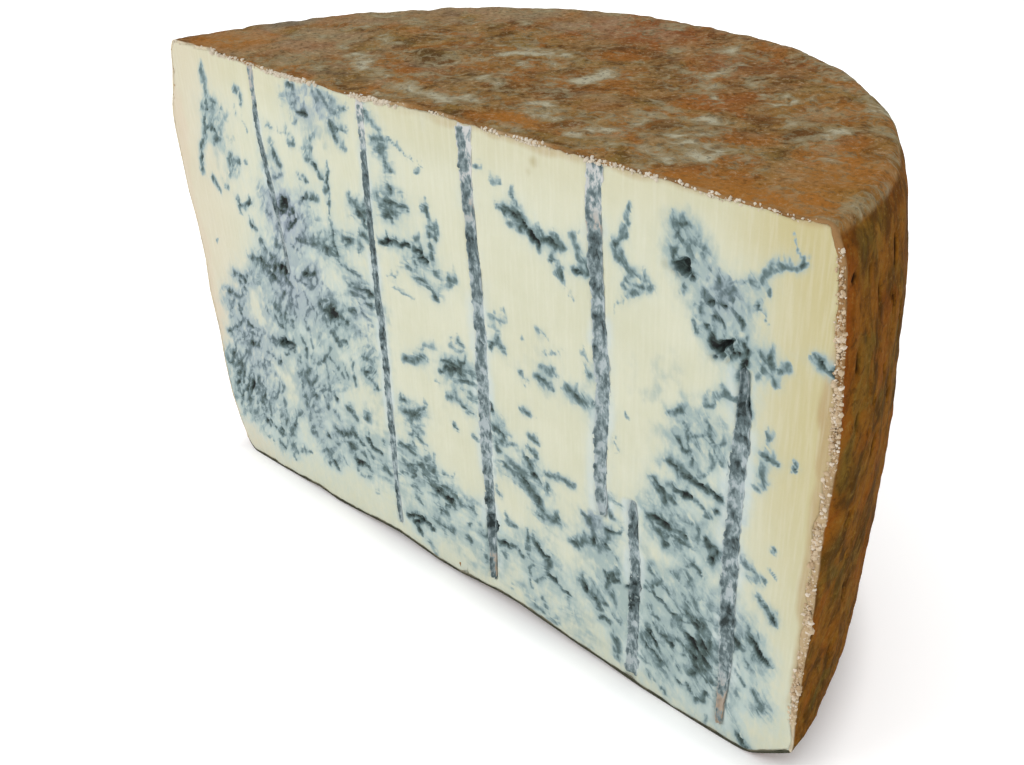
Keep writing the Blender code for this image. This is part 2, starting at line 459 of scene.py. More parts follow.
# %% Dents in the side
# Angle in degrees from the right of the cut, height, half width, half height and depth in mm
DENTS = [
    (9, 138, 1.6, 5, 2.4), (14, 146, 2.2, 7, 2.6), (20, 143, 1.6, 6, 2.2), (17, 124, 1.6, 8, 1.8),
    (8, 113, 1.3, 4, 1.6), (22, 110, 2, 8, 1.6), (6, 86, 1.4, 4, 1), (12, 84, 1.6, 6, 1.2),
    (20, 88, 1.8, 9, 1.4), (7, 66, 1.2, 4, 0.9), (16, 62, 1.8, 7, 1.3), (26, 70, 2, 8, 1.2),
    (10, 52, 1.6, 5, 1.1), (22, 44, 1.6, 8, 1.2), (8, 34, 1.3, 6, 0.9), (15, 28, 1.5, 5, 1),
    (30, 130, 2.4, 9, 1.6), (33, 96, 2, 7, 1.2), (28, 24, 2, 5, 1.2), (5, 134, 1.1, 5, 0.8),
    (25, 140, 2.2, 6, 1.6), (2, 150, 1.8, 2.6, 1.3), (3, 129, 1.3, 3.5, 1.4), (4, 112, 1.7, 3.5, 1.5),
    (9.6, 99, 1.7, 4, 1.5), (5, 85, 1.3, 5, 1.4), (13, 133, 1.6, 5, 2.2), (4, 24, 1.4, 4, 1.2),
    (2.5, 18, 1, 3, 1), (1.5, 142, .8, 2, .9), (6, 146, 1, 3, 1.2), (11, 118, .9, 3, 1.3),
    (7, 104, .8, 2.5, 1.1), (15, 108, 1, 4, 1.3), (18, 76, 1, 4, 1.2), (8, 74, .8, 3, 1),
    (13, 70, .9, 3, 1.1), (18, 54, 1, 4, 1.1), (6, 58, .7, 3, .9),
]
dice = np.random.default_rng(21)
many = 95
more_dents = np.stack([
    dice.uniform(36, 178, many), dice.uniform(14, 148, many), dice.uniform(1.0, 2.8, many),
    dice.uniform(3, 9, many), dice.uniform(0.7, 1.9, many)], -1)


def dent_depth(points):
    """Depth of the dents at each point in metres. Formula: depth times (1 - r^2)^2 inside
    each ellipse, where r is measured on the side in a slightly warped place."""
    turn = np.arctan2(points[:, 1] - CUT_Y, points[:, 0])
    place = np.stack([turn * RADIUS, points[:, 2]], -1)
    warp = np.stack([rough(points, 3.5 * MM, 31), rough(points, 3.5 * MM, 41)], -1) * 1.1 * MM
    place = place + warp
    total = np.zeros(len(points))
    for degrees, z, half_width, half_height, depth in (*DENTS, *more_dents):
        across = (place[:, 0] - np.radians(degrees) * RADIUS) / (0.75 * half_width * MM)
        upwards = (place[:, 1] - z * MM) / (half_height * MM)
        across = across + 0.25 * upwards
        total += depth * MM * np.clip(1 - across ** 2 - upwards ** 2, 0, 1) ** 2
    return total


# %% Directions of the outside
outer_points, outer_faces = weld([
    (side_grid.transpose(1, 0, 2), False), (top_grid, False), (under_grid, True)])
outwards = point_normals(outer_points, outer_faces)
on_cut = outer_points[:, 1] < CUT_Y + 1e-9
outwards[on_cut, 1] = 0
outwards /= np.linalg.norm(outwards, axis=1, keepdims=True)
on_top = smooth_step(outwards[:, 2], 0.35, 0.8)
on_side = smooth_step(1 - abs(outwards[:, 2]), 0.1, 0.55)
under = smooth_step(-outwards[:, 2], 0.35, 0.8)
print("outside", len(outer_points), "points,", round(float(on_top.mean()), 2), "of them on top")

# %% Unevenness of this wheel
# Left of the cut: height and how far the edge stands proud, in mm
LEFT_EDGE = (
    (0, 0), (8, -1.5), (16, -1.8), (25, -1.0), (38, -.6), (52, -1.3), (60, -.7), (69, .1), (82, -1.2),
    (92, -.9), (100, -.4), (109, .8), (117, .9), (131, 1.4), (139, 1.1), (146, -.3), (154, -.8), (161, .4))
# Corners of the shoulder, in degrees round the wheel: it is a little flat between them
SHOULDER_CORNERS = (0, 17, 40.5, 57.5, 68, 88, 104, 123, 146, 163, 180)
FLAT_DEPTH = 1.0
# Upper part of the side: degrees round the wheel and how far it stands proud, in mm
SHOULDER_PROUD = (
    (0, 0), (6, .2), (14, .7), (25, .6), (45, .2), (60, 1.0), (72, 1.0), (84, .6), (100, .3), (180, .2))
# Edge of the top: degrees round the wheel and how far it stands proud, in mm
TOP_PROUD = ((0, 0), (30, .4), (46, .1), (56, 1.2), (66, 1.2), (74, .1), (86, 0), (100, 0), (180, 0))
# Lower edge of the cut: x and height in mm, where it sags into the hollow underside
UNDER_EDGE = (
    (-116, 0), (-100, .2), (-84, .9), (-77, 1.7), (-65, .7), (-53, 1.6), (-41, 2.8), (-30, 3.5), (-20, 2.6),
    (-10, 1.8), (0, 2.0), (10, 3.1), (19, 4.1), (29, 4.2), (37, 3.4), (46, 2.7), (54, 2.0), (62, 1.7),
    (70, 1.0), (78, .3), (96, 0))
# The foot's right corner was bruised flat: it starts at this radius and rises by this slope
BRUISE_START, BRUISE_SLOPE = 115.4 * MM, 0.78
# How far the wheel is tucked in above its foot at the right, and how slack its right side is, in mm
FOOT_TUCK, RIGHT_SLACK = 1.1, 0.5


def read_pairs(pairs, places):
    """Values at the given places, on straight lines between the pairs of a table."""
    return np.interp(places, *np.array(pairs).T)


# %% Relief of the rind
def rind_relief(points, on_top, on_side):
    """How far the outside stands proud, in metres, and how deep its dents are.
    Formula: on the side, noise stretched upwards, less the dents, with listed bumps along the
    left of the cut and a tuck above the foot; on top, low lumps; and between the shoulder's
    corners a parabola inwards, 4 t (1 - t)."""
    x, depth, z = points[:, 0], points[:, 1] - CUT_Y, points[:, 2]
    turn = np.degrees(np.arctan2(depth, x))
    dents = dent_depth(points) * on_side
    at_left = np.exp(-((180 - turn) / 7) ** 2)
    high = smooth_step(z, 118 * MM, 152 * MM)
    side = 0.55 * rough(points * (1, 1, 0.4), 11 * MM, 51, 4) * (1 - 0.5 * high)
    side = side + 0.12 * rough(points, 2.6 * MM, 56, 2) * (1 - high)
    side = side * (1 - 0.7 * at_left) + at_left * read_pairs(LEFT_EDGE, z / MM)
    side = side + read_pairs(SHOULDER_PROUD, turn) * smooth_step(z, 70 * MM, 140 * MM)
    corners = np.array(SHOULDER_CORNERS)
    stretch = np.clip(np.searchsorted(corners, turn) - 1, 0, len(corners) - 2)
    part = (turn - corners[stretch]) / (corners[stretch + 1] - corners[stretch])
    width = (corners[stretch + 1] - corners[stretch]) / 23
    flats = FLAT_DEPTH * width * 4 * part * (1 - part) * high * (1 - at_left)
    side = side - RIGHT_SLACK * (1 - smooth_step(turn, 50, 75))
    above_foot = np.exp(-((z / MM - 8) / 16) ** 2)
    side = side - FOOT_TUCK * above_foot * smooth_step(turn, 3, 14) * (1 - smooth_step(turn, 38, 60))
    top = 0.40 * rough(points, 16 * MM, 61, 3) + 0.22 * rough(points, 4 * MM, 66, 3) * (1 - 0.6 * on_side)
    top = top + read_pairs(TOP_PROUD, turn) * smooth_step(np.hypot(x, depth), 108 * MM, 123 * MM)
    return (side * on_side - flats * on_side + top * on_top) * MM - dents, dents


def sag_and_bruise(points, under):
    """Moves the underside near the cut to the drawn lower edge, and lifts the bruised corner.
    Formula: heights blend to the edge's height by exp(-(depth / 30 mm)^2); under a sloping
    line the height becomes the soft larger one, (h + line + sqrt((line - h)^2 + 2^2)) / 2."""
    x, depth, z = points[:, 0], points[:, 1] - CUT_Y, points[:, 2]
    near = np.exp(-(depth / (30 * MM)) ** 2) * under
    z = z + near * (read_pairs(UNDER_EDGE, x / MM) * MM - z) * (abs(x) < 112 * MM)
    turn = np.degrees(np.arctan2(depth, x))
    short = (np.hypot(x, depth) - BRUISE_START) * BRUISE_SLOPE - z
    lift = 0.5 * (short + np.sqrt(short ** 2 + (2 * MM) ** 2))
    return z + lift * np.exp(-(turn / 30) ** 2) * (z < 40 * MM)


relief, dents = rind_relief(outer_points, on_top, on_side)
skin_points = outer_points + outwards * relief[:, None]
skin_points[on_cut, 1] = CUT_Y
skin_points[:, 2] = np.maximum(sag_and_bruise(skin_points, under), 0)
print("relief from", round(relief.min() / MM, 2), "to", round(relief.max() / MM, 2), "mm")

# %% [markdown]
# ## The outline of the cut
# Where the knife went through, the rind shows as a narrow pale rim: thick at the right, thin
# along the top and underneath. Paste and rind must meet there, so both are worked out from
# one closed outline and one formula for the rind's thickness.

# %% Outline and rim
edge = np.concatenate([
    under_grid[0, :-1], side_grid[0, :-1], top_grid[0, ::-1][:-1], side_grid[-1, ::-1][:-1]])
outline_rows = rows_of(edge, outer_points)
outline = skin_points[outline_rows]
along = np.roll(outline, -3, axis=0) - np.roll(outline, 3, axis=0)
inwards = np.stack([-along[:, 2], np.zeros(len(outline)), along[:, 0]], -1)
inwards /= np.linalg.norm(inwards, axis=1, keepdims=True)
RIM_RIGHT, RIM_LEFT, RIM_TOP, RIM_UNDER = 2.0 * MM, 0.8 * MM, 0.8 * MM, 1.2 * MM


def rim_thickness(points, inwards):
    """Thickness of the rind at the cut: a value for each side, blended by the square of the
    direction, with crumbly noise at 5 mm and 1.6 mm. Low on the right it thins out."""
    right = np.clip(-inwards[:, 0], 0, 1) ** 2
    left = np.clip(inwards[:, 0], 0, 1) ** 2
    up = np.clip(-inwards[:, 2], 0, 1) ** 2
    under = np.clip(inwards[:, 2], 0, 1) ** 2
    right = right * (0.4 + 0.6 * smooth_step(points[:, 2], 14 * MM, 36 * MM))
    plain = right * RIM_RIGHT + left * RIM_LEFT + up * RIM_TOP + under * RIM_UNDER
    crumbly = 0.22 * rough(points, 5 * MM, 11) + 0.22 * lattice_noise(points, 1.6 * MM, 12)
    return plain * (1 + crumbly)


thickness = rim_thickness(outline, inwards)
inner_outline = outline + inwards * thickness[:, None]
print("outline of", len(outline), "points, rim", round(thickness.min() / MM, 2), "to",
      round(thickness.max() / MM, 2), "mm")


def sweep_back(right, left, steps, fullness):
    """Carries one half of an outline round the back to the other half.
    Formula: x follows the cosine and y the sine of the angle, z goes evenly across, and all
    shrink towards the middle by (1 - fullness), which is reached 15 degrees behind the cut."""
    angle = np.linspace(0, np.pi, steps)[:, None]
    middle, half = (right + left) / 2, (right - left) / 2
    bulge = np.where((angle > 0) & (angle < np.pi), np.sin(angle), 0)
    shrink = (1 - fullness) * smooth_step(bulge, 0, 0.25)
    x = middle[:, 0] + half[:, 0] * np.cos(angle) * (1 - shrink)
    y = CUT_Y + abs(half[:, 0]) * bulge * (1 - shrink)
    z = middle[:, 2] + half[:, 2] * np.cos(angle)
    z = z + (HEIGHT / 2 - z) * shrink
    swept = np.stack([x, y, z], -1)
    swept[0], swept[-1] = right, left
    return swept


# %% Rim and inside of the rind
RIM_ROWS = 5
INSIDE_STEPS = 25
RIND_FULLNESS = 0.955
share = np.linspace(0, 1, RIM_ROWS)[:, None, None]
rim = outline * (1 - share) + inner_outline * share
crumble = 0.35 * rough(rim, 2.4 * MM, 71, 3) - 0.1
rim[..., 1] = CUT_Y - crumble * np.sin(np.pi * share[..., 0]) * MM
rim = np.concatenate([rim, rim[:, :1]], axis=1)
count = len(outline)
half_under = (ACROSS_STEPS - 1) // 2
start_top = (ACROSS_STEPS - 1) + side_grid.shape[1] - 1
right_half = inner_outline[half_under:start_top + half_under + 1]
left_half = inner_outline[(half_under - np.arange(len(right_half))) % count]
inside = sweep_back(right_half, left_half, INSIDE_STEPS, RIND_FULLNESS).transpose(1, 0, 2)
first_of_rim = len(skin_points)
first_of_inside = first_of_rim + rim.shape[0] * rim.shape[1]
rind_points, rind_faces, kept_of_rind = join_points(
    np.concatenate([skin_points, rim.reshape(-1, 3), inside.reshape(-1, 3)]),
    np.concatenate([outer_faces, grid_faces(*rim.shape[:2], first_of_rim),
                    grid_faces(*inside.shape[:2], first_of_inside, True)]))
print("rind", len(rind_faces), "triangles")

# %% [markdown]
# ## Marbling of the cut
# Blue mould grows where air reached the curd: in streaks along the folds of the curd, in
# blotches round small holes, and thickly beside the needle channels. A plain noise would
# spread it evenly, and it doesn't grow evenly. The growths are drawn one by one as strands
# with a width in millimetres and are roughened with noise. Broad zones add fine streaks
# between them, which follow the way the curd was pressed.

# %% Strands of mould
# Width in mm, darkness, then x and height of each point along the strand in mm.
# Darkness 0.5 is a pale blue breath, 0.8 a blue-grey growth and 1.2 a black opening.
STRANDS = [
    
    # upper left
    (2.2, .85, -107, 157, -107, 150, -108.5, 145, -110, 141), (2, .9, -110, 141, -112, 135, -116, 128),
    (2.6, 1, -116, 128, -118, 124, -118.5, 120), (1.8, 1, -110, 143, -108.5, 144),
    (1.5, .8, -104.5, 147, -102, 146), (1.6, .6, -99, 146.5, -101, 143), (1.6, .9, -110, 137, -106, 137),
    (1.2, .7, -103.5, 136, -102, 136), (2, .85, -106, 132, -103, 134), (3, .85, -98.5, 128, -101, 123),
    (2, .8, -98, 126.5, -94.5, 128), (1.5, .8, -90, 128, -89, 127.5), (2, .95, -113, 117.5, -110, 114.5),
    (2, .65, -106, 117, -104, 116.5), (1.8, 1, -98, 113, -95, 111.5, -91, 114),
    (1.2, .6, -98, 111, -99, 108), (2.4, 1, -92.5, 105.5, -91, 105), (2, .75, -90, 153, -88.5, 151),
    (1.8, .85, -86.5, 151, -86, 149.5), (1, .5, -91, 148, -91, 144), (1, .5, -87, 143, -86, 140),
    (2.5, 1.15, -77, 119, -74, 115), (2.5, 1.1, -72, 120, -69, 116),
    (2.5, 1.2, -68, 117, -66, 113, -70, 110), (2, 1.1, -75, 116, -70, 115),
    (1.8, 1, -68, 107, -64, 108, -60, 107, -55, 109.5), (2, .8, -58, 109, -50, 108),
    (2.2, .95, -73, 137.5, -72.5, 135, -71, 132), (1.4, .85, -75, 144, -72.5, 144),
    (1, .55, -71, 143, -63, 144), (1.4, .9, -63, 140, -60, 140), (1.6, 1.15, -61, 159, -57, 159),
    (2, .6, -57, 157, -52, 155.5), (1.6, 1.1, -57, 152.5, -51.5, 152), (1.6, .55, -60, 149, -57, 148),
    (1.8, .95, -54, 138, -51, 135, -47, 133), (2, .6, -50, 146, -52, 143, -55, 140),
    (1.3, 1.05, -45.5, 137, -45.5, 128, -46.5, 122, -46, 114, -46, 108), (1.3, 1, -48.5, 127, -45, 129.5),
    (1.5, .75, -60, 129, -57, 131), (2, 1, -61.5, 123, -57, 125, -53.5, 125.5),
    (2, .85, -62, 121, -58, 122), (2.6, .95, -97, 92, -92, 93, -88, 92, -83, 93),
    (2, .85, -87, 97, -83, 95), (2, .8, -89.5, 100, -86.5, 97), (3.2, 1.2, -86, 89, -82.5, 87),
    (2.5, .95, -79, 93, -76, 95.5), (2, .9, -78, 89, -74, 88), (1.5, .85, -72, 92, -64, 90, -61, 92),
    (2.6, 1.1, -65, 95, -60.5, 96, -59, 94), (1.4, .7, -55, 94, -53, 93),
    (2.6, 1, -60, 86, -55, 84, -50, 84, -46, 83), (2.6, .95, -110, 81, -105, 82, -103, 81),
    (1.4, .8, -103, 84, -101.5, 84.5), (1.2, .5, -118, 92, -116, 94), (1.6, .8, -70, 104, -66, 103),
    (1.8, .8, -53, 111, -47, 112), (1.6, .7, -74, 126, -70, 128), (2, .8, -77, 107, -73, 104),
    # upper middle
    (2, .7, -45, 160, -41, 156, -38, 154), (2, .8, -38, 154, -32, 157), (2, 1, -41, 151, -38, 150),
    (1.6, 1, -40, 149, -39, 146), (1.2, .85, -36, 150, -33, 150), (1.4, .6, -37, 144, -34, 143.5),
    (3, .8, -36, 130, -33, 127, -31, 124), (2.5, .95, -33, 126, -30, 121), (1.8, .85, -33, 118, -30, 117),
    (2.6, .95, -42, 114, -38, 114), (1.5, .75, -34, 111.5, -32, 113),
    (1.3, .85, -47, 106, -42, 104, -36, 103.5), (2, .9, -42, 98, -38, 99),
    (2, .95, -37, 97, -33, 99, -30, 97), (2, .95, -34, 95, -29.5, 93.5), (1.8, .8, -39, 94, -36, 91),
    (2.5, .9, -43.5, 89.5, -40, 88), (1.6, .7, -36, 90, -33, 86),
    (2.2, .75, -24, 158, -20, 154, -18, 151, -17, 147), (2, .9, -19, 147, -17, 143, -14.5, 141),
    (1.6, .7, -21.5, 150, -16, 148.5), (2, .85, -17, 138, -17, 134), (2, .8, -22, 133, -18, 132),
    (1.6, 1.05, -19, 131, -14, 132, -10, 133), (2, .85, -21, 130, -15, 129), (1.8, 1.1, -20, 127, -17, 127),
    (1.3, .8, -15, 152, -11, 151, -9.5, 149), (.9, .6, -8, 147.5, -3, 147), (1, .7, -4, 145, -1, 145),
    (2, .9, -1, 134, 0, 130, 3, 128, 2, 125), (1.3, .85, -3, 133.5, -1.5, 132.5),
    (2, .9, 0, 127, -1, 120, 0, 117), (1.5, 1.15, -23, 118, -18, 119, -12, 120, -6, 120, -4, 117.5),
    (2, 1.25, -5, 117, -2, 116), (1.5, .75, -8, 123, -5, 125),
    (2.4, .85, -12, 113, -9, 111, -5, 110, -2, 108, 1, 105), (2, .8, -8, 117, -7, 112),
    (2, .85, -1, 118, 1, 114, 5, 113, 8, 115), (1.2, .6, -22, 108, -17, 109), (.9, .5, -22, 104, -10, 103),
    (1.4, .85, 5, 92, 9, 92.5), (1.2, .8, 9, 96, 9.5, 93), (3, .9, -16, 79, -12, 81, -8, 82.5),
    (1.4, .6, -10, 85, -8, 88, -3, 89), (1.5, .95, 0, 86, 5, 85.5, 10, 88),
    (2.5, .9, 1, 83, 5, 84, 9, 82, 14, 83), (1.2, .85, -1.5, 82, 0, 81.5), (1, .65, 20, 152, 23, 151.5),
    (1.8, .6, 25, 148, 28, 149.5), (1.8, 1.05, 28, 141, 30, 140), (2, 1.05, 32, 146, 33, 143, 35, 142),
    (3.2, 1.05, 31, 141, 34, 141, 36, 139), (2, .85, 32, 138, 35.5, 137),
    (1.9, 1.2, 35.5, 140, 39, 137, 41, 134), (2.3, 1.15, 41, 138, 45, 136.5, 49, 136),
    (1.4, .9, 48.5, 139, 48.5, 136), (1.6, .95, 46, 132, 49, 130, 50, 127), (1.4, .8, 47.5, 129, 48.5, 128),
    (1, .5, 51, 125, 53, 123), (1.8, .5, 22, 108, 28, 109), (1.6, .45, 21, 105, 26, 104),
    (1.8, .9, 21, 98, 24, 99, 27.5, 98), (1.2, 1.05, 24.5, 102, 25, 99), (2, .95, 40, 94, 44, 93),
    (2, .9, 42, 97, 45.5, 98), (1.8, .85, 41, 92, 45, 91.5), (1.3, .75, 32.5, 93, 36, 90.5),
    (1.2, .6, 34, 104, 35, 104.5), (1.5, .55, 40, 109, 43, 107), (1.4, .55, 44, 104, 50, 104),
    (2, .9, 33, 81, 37, 80),
    # upper right
    (2.2, .8, 54, 140, 55, 136, 57, 134), (1.8, 1.1, 54, 131, 56.5, 132), (1.6, .9, 57, 134, 58.5, 131),
    (1.2, .85, 71.5, 152, 71, 148, 70, 145, 67, 142.5, 65.5, 140), (1.8, .95, 65, 141, 66, 140),
    (1.6, 1, 67, 139, 71, 137, 75, 136, 78, 134), (1.6, 1, 78, 134, 74, 132.5, 71, 133),
    (1.4, .75, 71, 136, 71, 131), (1.5, .75, 75, 131, 70, 129, 69, 127), (1.2, .6, 68, 126, 68, 124),
    (1.2, 1.1, 83, 154, 83.5, 151, 85, 151), (1.4, .95, 84, 150, 87, 152.5, 90, 152, 92, 149, 93, 146),
    (1.7, .8, 86, 149, 84, 146, 84, 144), (1.4, .7, 88, 149, 89, 146),
    (2, 1.25, 84.5, 142.5, 87, 141, 89.5, 140), (1.5, .75, 87, 137, 86.5, 135),
    (1.5, .8, 94, 145, 94, 141, 93, 136, 93, 131), (1.7, .75, 97, 142, 97, 137, 98, 134),
    (1.3, .9, 100, 142, 100, 137, 103, 133, 103, 130), (1.2, .8, 93, 138, 99, 139),
    (1.2, 1.05, 94, 134, 98, 135.5), (2, 1.15, 96, 132, 97, 131), (1.4, .8, 98, 130, 99, 128),
    (1.7, 1, 94, 128, 95, 127), (1.8, .8, 91, 128.5, 92, 126), (1.2, .75, 91, 133, 91.5, 132),
    (2.4, 1.3, 95.5, 125.5, 99, 124.5, 102.5, 123.5), (2, .8, 103, 127, 104.5, 124),
    (1.7, 1.1, 105, 128, 105.5, 122, 104, 118, 106, 113, 106.5, 110),
    (1.8, .85, 108, 126, 110, 123, 108.5, 120), (1.4, .95, 112, 127, 112, 123, 114, 120),
    (1.6, .95, 110, 124, 114, 124, 116.5, 125),
    (1.2, .9, 101, 141.5, 105, 143, 107.5, 143.5, 108.5, 146, 111, 149),
    (1.3, .95, 111, 149, 115, 150, 118, 152), (.8, .9, 118, 152, 116, 155, 114.5, 158),
    (1.4, .85, 109.5, 142.5, 110, 141), (1.8, 1.1, 108, 138, 108, 137), (.8, .7, 109, 136, 110.5, 133.5),
    (1.6, .95, 95, 108, 98, 109, 100, 112, 103, 112), (1.2, .9, 100, 114, 100.5, 112),
    (2, 1.05, 84, 100, 87, 101, 89, 103), (1.8, 1, 89, 104, 90, 101),
    (1.6, .95, 90, 101, 91, 97, 92, 93, 93, 88), (1.6, 1.05, 87, 94, 89, 92, 92, 92),
    (1.6, .9, 96, 103, 98, 99, 99, 95, 100, 92), (1.4, .85, 93, 97, 96, 98, 97, 93, 97, 90),
    (1.2, .95, 101, 100, 101, 97), (1.4, .9, 112, 106, 113, 105), (1.6, 1, 112, 101, 116, 100),
    (1.7, 1, 120, 101, 120, 100), (2.2, .85, 112, 98, 112, 93, 111, 91), (2.4, 1.05, 84, 86.5, 87, 86),
    (1.6, 1.2, 88, 85, 92, 84, 97, 83, 101, 82), (2, .85, 95, 88, 94, 85),
    (2.4, 1, 122, 130, 124.5, 128, 129, 127.5), (2, .9, 57, 103, 59, 103), (1.2, .5, 56, 107, 58, 106.5),
    (2.8, .95, 50, 95, 54, 94, 56, 92, 59, 93), (1.6, .8, 54.5, 97, 55, 94),
    (1.2, .6, 71, 94.5, 71.5, 93.5), (1.2, .6, 68, 86, 68.5, 82), (1, .4, 42, 103, 48, 103.5),
    # lower left
    (1.8, 1, -126, 38, -125, 41, -122, 44, -120, 47), (2, 1.05, -122, 31, -118, 34, -116, 36),
    (1.8, .95, -121, 24, -119, 28, -117, 30), (2, .85, -122, 55, -116, 58, -112, 61),
    (2.6, 1.1, -107, 62, -104, 61.5), (1.8, .85, -111, 63, -107, 63),
    (1.8, .9, -111, 69, -111, 65, -112, 61), (2.2, .85, -118, 72, -114, 73, -110, 72, -106, 75),
    (1.8, .8, -107, 79, -105, 77), (1.8, .85, -106, 59, -103, 58), (1.5, .75, -100, 60, -100, 57),
    (2, .9, -98, 53, -94, 53), (1.8, 1.05, -93, 72, -92, 73), (2.5, 1.05, -87, 76, -84, 75),
    (2, 1, -88, 72, -86, 69, -83, 68), (2.6, .75, -95, 61, -93, 60),
    (3.4, 1.35, -90, 60, -86, 61.5, -82, 63, -79, 64), (1.8, .85, -85, 57, -82, 58),
    (2.6, .9, -78, 61, -76, 60), (1.6, .85, -91, 51, -88, 53), (2, .85, -98, 33, -94, 37, -90, 41),
    (1.6, .75, -92, 30, -90, 35), (2, .9, -90, 20, -87, 25, -84, 30, -80, 34), (1.6, .7, -98, 47, -95, 50),
    (1.6, .7, -101, 41, -98, 45), (2.6, .8, -76, 57, -77, 50, -76, 42, -75, 34, -74, 27),
    (2, .85, -74, 53, -70, 56), (2.2, .9, -65, 50, -63, 46, -64, 42),
    (2, .75, -68, 60, -62, 62, -60, 66, -56, 69), (1.4, .65, -68, 62, -66, 68, -67, 72),
    (1.6, .9, -66, 30, -62, 28, -59, 29), (2.2, .9, -69, 22, -66, 20, -68, 16), (2, 1, -66, 19, -62, 16.5),
    (2, 1, -107, 20, -106, 18.5), (2.2, 1.05, -104, 20, -100, 18, -96, 18), (2.6, 1, -99, 13, -96, 12),
    (2, .9, -89, 14, -88, 12), (2, .65, -91.5, 10, -91, 8), (1.4, .75, -85, 13, -82, 16, -79, 17),
    (1.2, .5, -106, 11.5, -103, 10), (2.8, 1.1, -57.5, 50, -56.5, 49.5), (2, .95, -51, 47, -47, 45),
    (2.2, 1, -61, 35, -57, 34, -53, 36, -50, 37, -47, 35), (2, .95, -52, 31, -49, 30, -45, 30),
    (2, 1, -50, 25, -46, 26, -43, 27), (1.6, .85, -50, 21, -44, 22), (1.4, .6, -58, 23, -57, 21),
    (1.3, .95, -45, 69, -45, 58), (2.8, 1, -56, 77, -52, 74, -48, 74.5), (1.8, .7, -60, 44, -58, 40),
    (1.8, .8, -69, 52, -66, 56), (1.6, .8, -112, 52, -108, 56), (1.8, .8, -116, 44, -112, 49),
    (1.8, .8, -113, 33, -109, 39), (1.8, .75, -106, 30, -103, 36), (1.8, .75, -108, 22, -105, 28),
    (1.6, .75, -116, 52, -113, 55), (1.6, .8, -103, 24, -101, 30), (1.8, .75, -96, 22, -94, 28),
    (1.6, .7, -112, 40, -108, 45), (1.8, .8, -104, 44, -100, 48), (2, .85, -76, 82, -75, 76, -77, 70),
    (1.6, .8, -72, 90, -71, 84, -73, 80), (1.6, .8, -67, 88, -66, 82, -69, 78), (1.4, .8, -70, 76, -68, 72),
    (2, .9, -80, 78, -81, 72), (1.4, .8, -64, 84, -62, 79), (1.6, .85, -58, 66, -55, 62, -52, 60),
    (1.4, .8, -57, 60, -54, 57), (1.4, .75, -51, 65, -49, 60), (1.4, .85, -60, 63, -60, 58),
    (1.6, .9, -73, 69, -71, 65, -72, 61),
    # lower middle
    (3.2, .95, -40, 49.5, -41, 47), (2.6, 1, -38.5, 65, -35, 63, -33, 62),
    (1.6, .85, -40, 67, -37, 68, -34, 69.5), (1.8, .75, -39, 73, -34, 72),
    (1.8, 1.05, -42, 39, -40, 37, -36, 35), (2, .9, -45, 34, -41, 32), (2, .95, -36, 31, -32, 28.5),
    (2, .85, -45, 26, -42, 24, -44, 22), (1.3, .85, -33, 41.5, -32.5, 40), (1.2, .5, -42, 15, -40, 16),
    (1.8, .9, -21.5, 63, -19, 63), (2, .8, -14, 62, -11, 64, -9, 66),
    (2.8, .85, -21, 58, -16, 58.5, -12, 60), (2, .7, -18, 54.5, -12, 55),
    (1.7, 1, -19, 50, -15, 50.5, -12, 48), (1.6, .95, -24, 43, -21, 45, -18, 43),
    (1.4, .75, -17.5, 48, -16.5, 46), (1.6, .85, -13, 42, -10, 45, -7, 43), (1.6, .8, -9, 41.5, -7.5, 40),
    (2, .9, -22, 36, -18, 38, -14, 40, -9, 40), (1.8, 1, -20, 33, -17, 35.5),
    (2.2, 1.1, -14, 34, -9, 33, -4, 32, 1, 31), (2, .85, -8, 36, -3, 35.5, 1, 34),
    (1.8, 1.05, 1, 33.5, 5, 33, 10, 33), (2, .65, -23, 33, -27, 30), (1.8, .9, -9, 26, -6, 24, -3, 25),
    (1.4, .9, -2, 29, -3, 27), (1.6, .8, -20, 28, -16, 29), (1.6, .8, -18.5, 25, -15, 24),
    (2.4, .7, -10, 20, -5, 19, 0, 19), (1.6, .75, -7, 17, -5, 15.5),
    (2.6, 1.15, -24, 14.5, -19, 15.5, -15, 15.5, -12, 14), (2.8, 1.25, -19.5, 12.5, -18.5, 9),
    (2.5, .65, -14, 8, -11, 5), (2, 1.05, 6, 20, 8, 19), (1.5, .95, 7, 26, 8, 27.5),
    (3, .65, 12, 27, 14, 24), (2, .8, 13, 17, 14, 14), (1.8, 1.1, 4, 62.5, 5, 62), (1.4, .7, -2, 42, 1, 42),
    (1.8, 1.05, 2, 73, 4, 73.5), (2.4, .9, 6, 74.5, 8, 72, 12, 72), (1.2, .5, -4, 76, -1, 76),
    (2, .8, 10, 77, 14, 76.5), (1.6, .95, 12.5, 62, 14, 62), (1.8, .95, 20, 77, 21.5, 75),
    (2.6, .95, 21, 69, 25, 69, 24, 65.5), (2, 1, 21, 64.5, 22, 62), (1.6, .85, 26.5, 65.5, 29, 67.5),
    (1.8, .95, 23, 58, 26, 57, 29, 55.5), (1.8, .95, 28, 59, 31, 58.5), (1.8, 1.1, 32, 57, 35, 54.5),
    (2, 1, 33, 63.5, 37, 62), (2, 1.05, 36, 60, 40, 59), (1.6, 1, 35, 68, 38, 67),
    (1.8, .95, 36, 73, 39, 72.5), (2, .85, 42, 62, 45.5, 62.5), (1.8, .85, 43, 59, 43.5, 57),
    (2.8, 1, 34, 53, 37, 51.5, 40, 48, 43, 46.5, 46, 48), (1.8, .95, 38.5, 46, 41, 44.5),
    (1.6, .85, 24, 36.5, 26, 34.5, 28.5, 36), (2.1, 1.15, 21, 26.5, 25, 26),
    (1.7, 1.05, 27, 27.5, 29, 26.5, 31, 25), (1.6, .75, 22, 23, 24, 21), (1.8, .65, 21, 48, 21.5, 44),
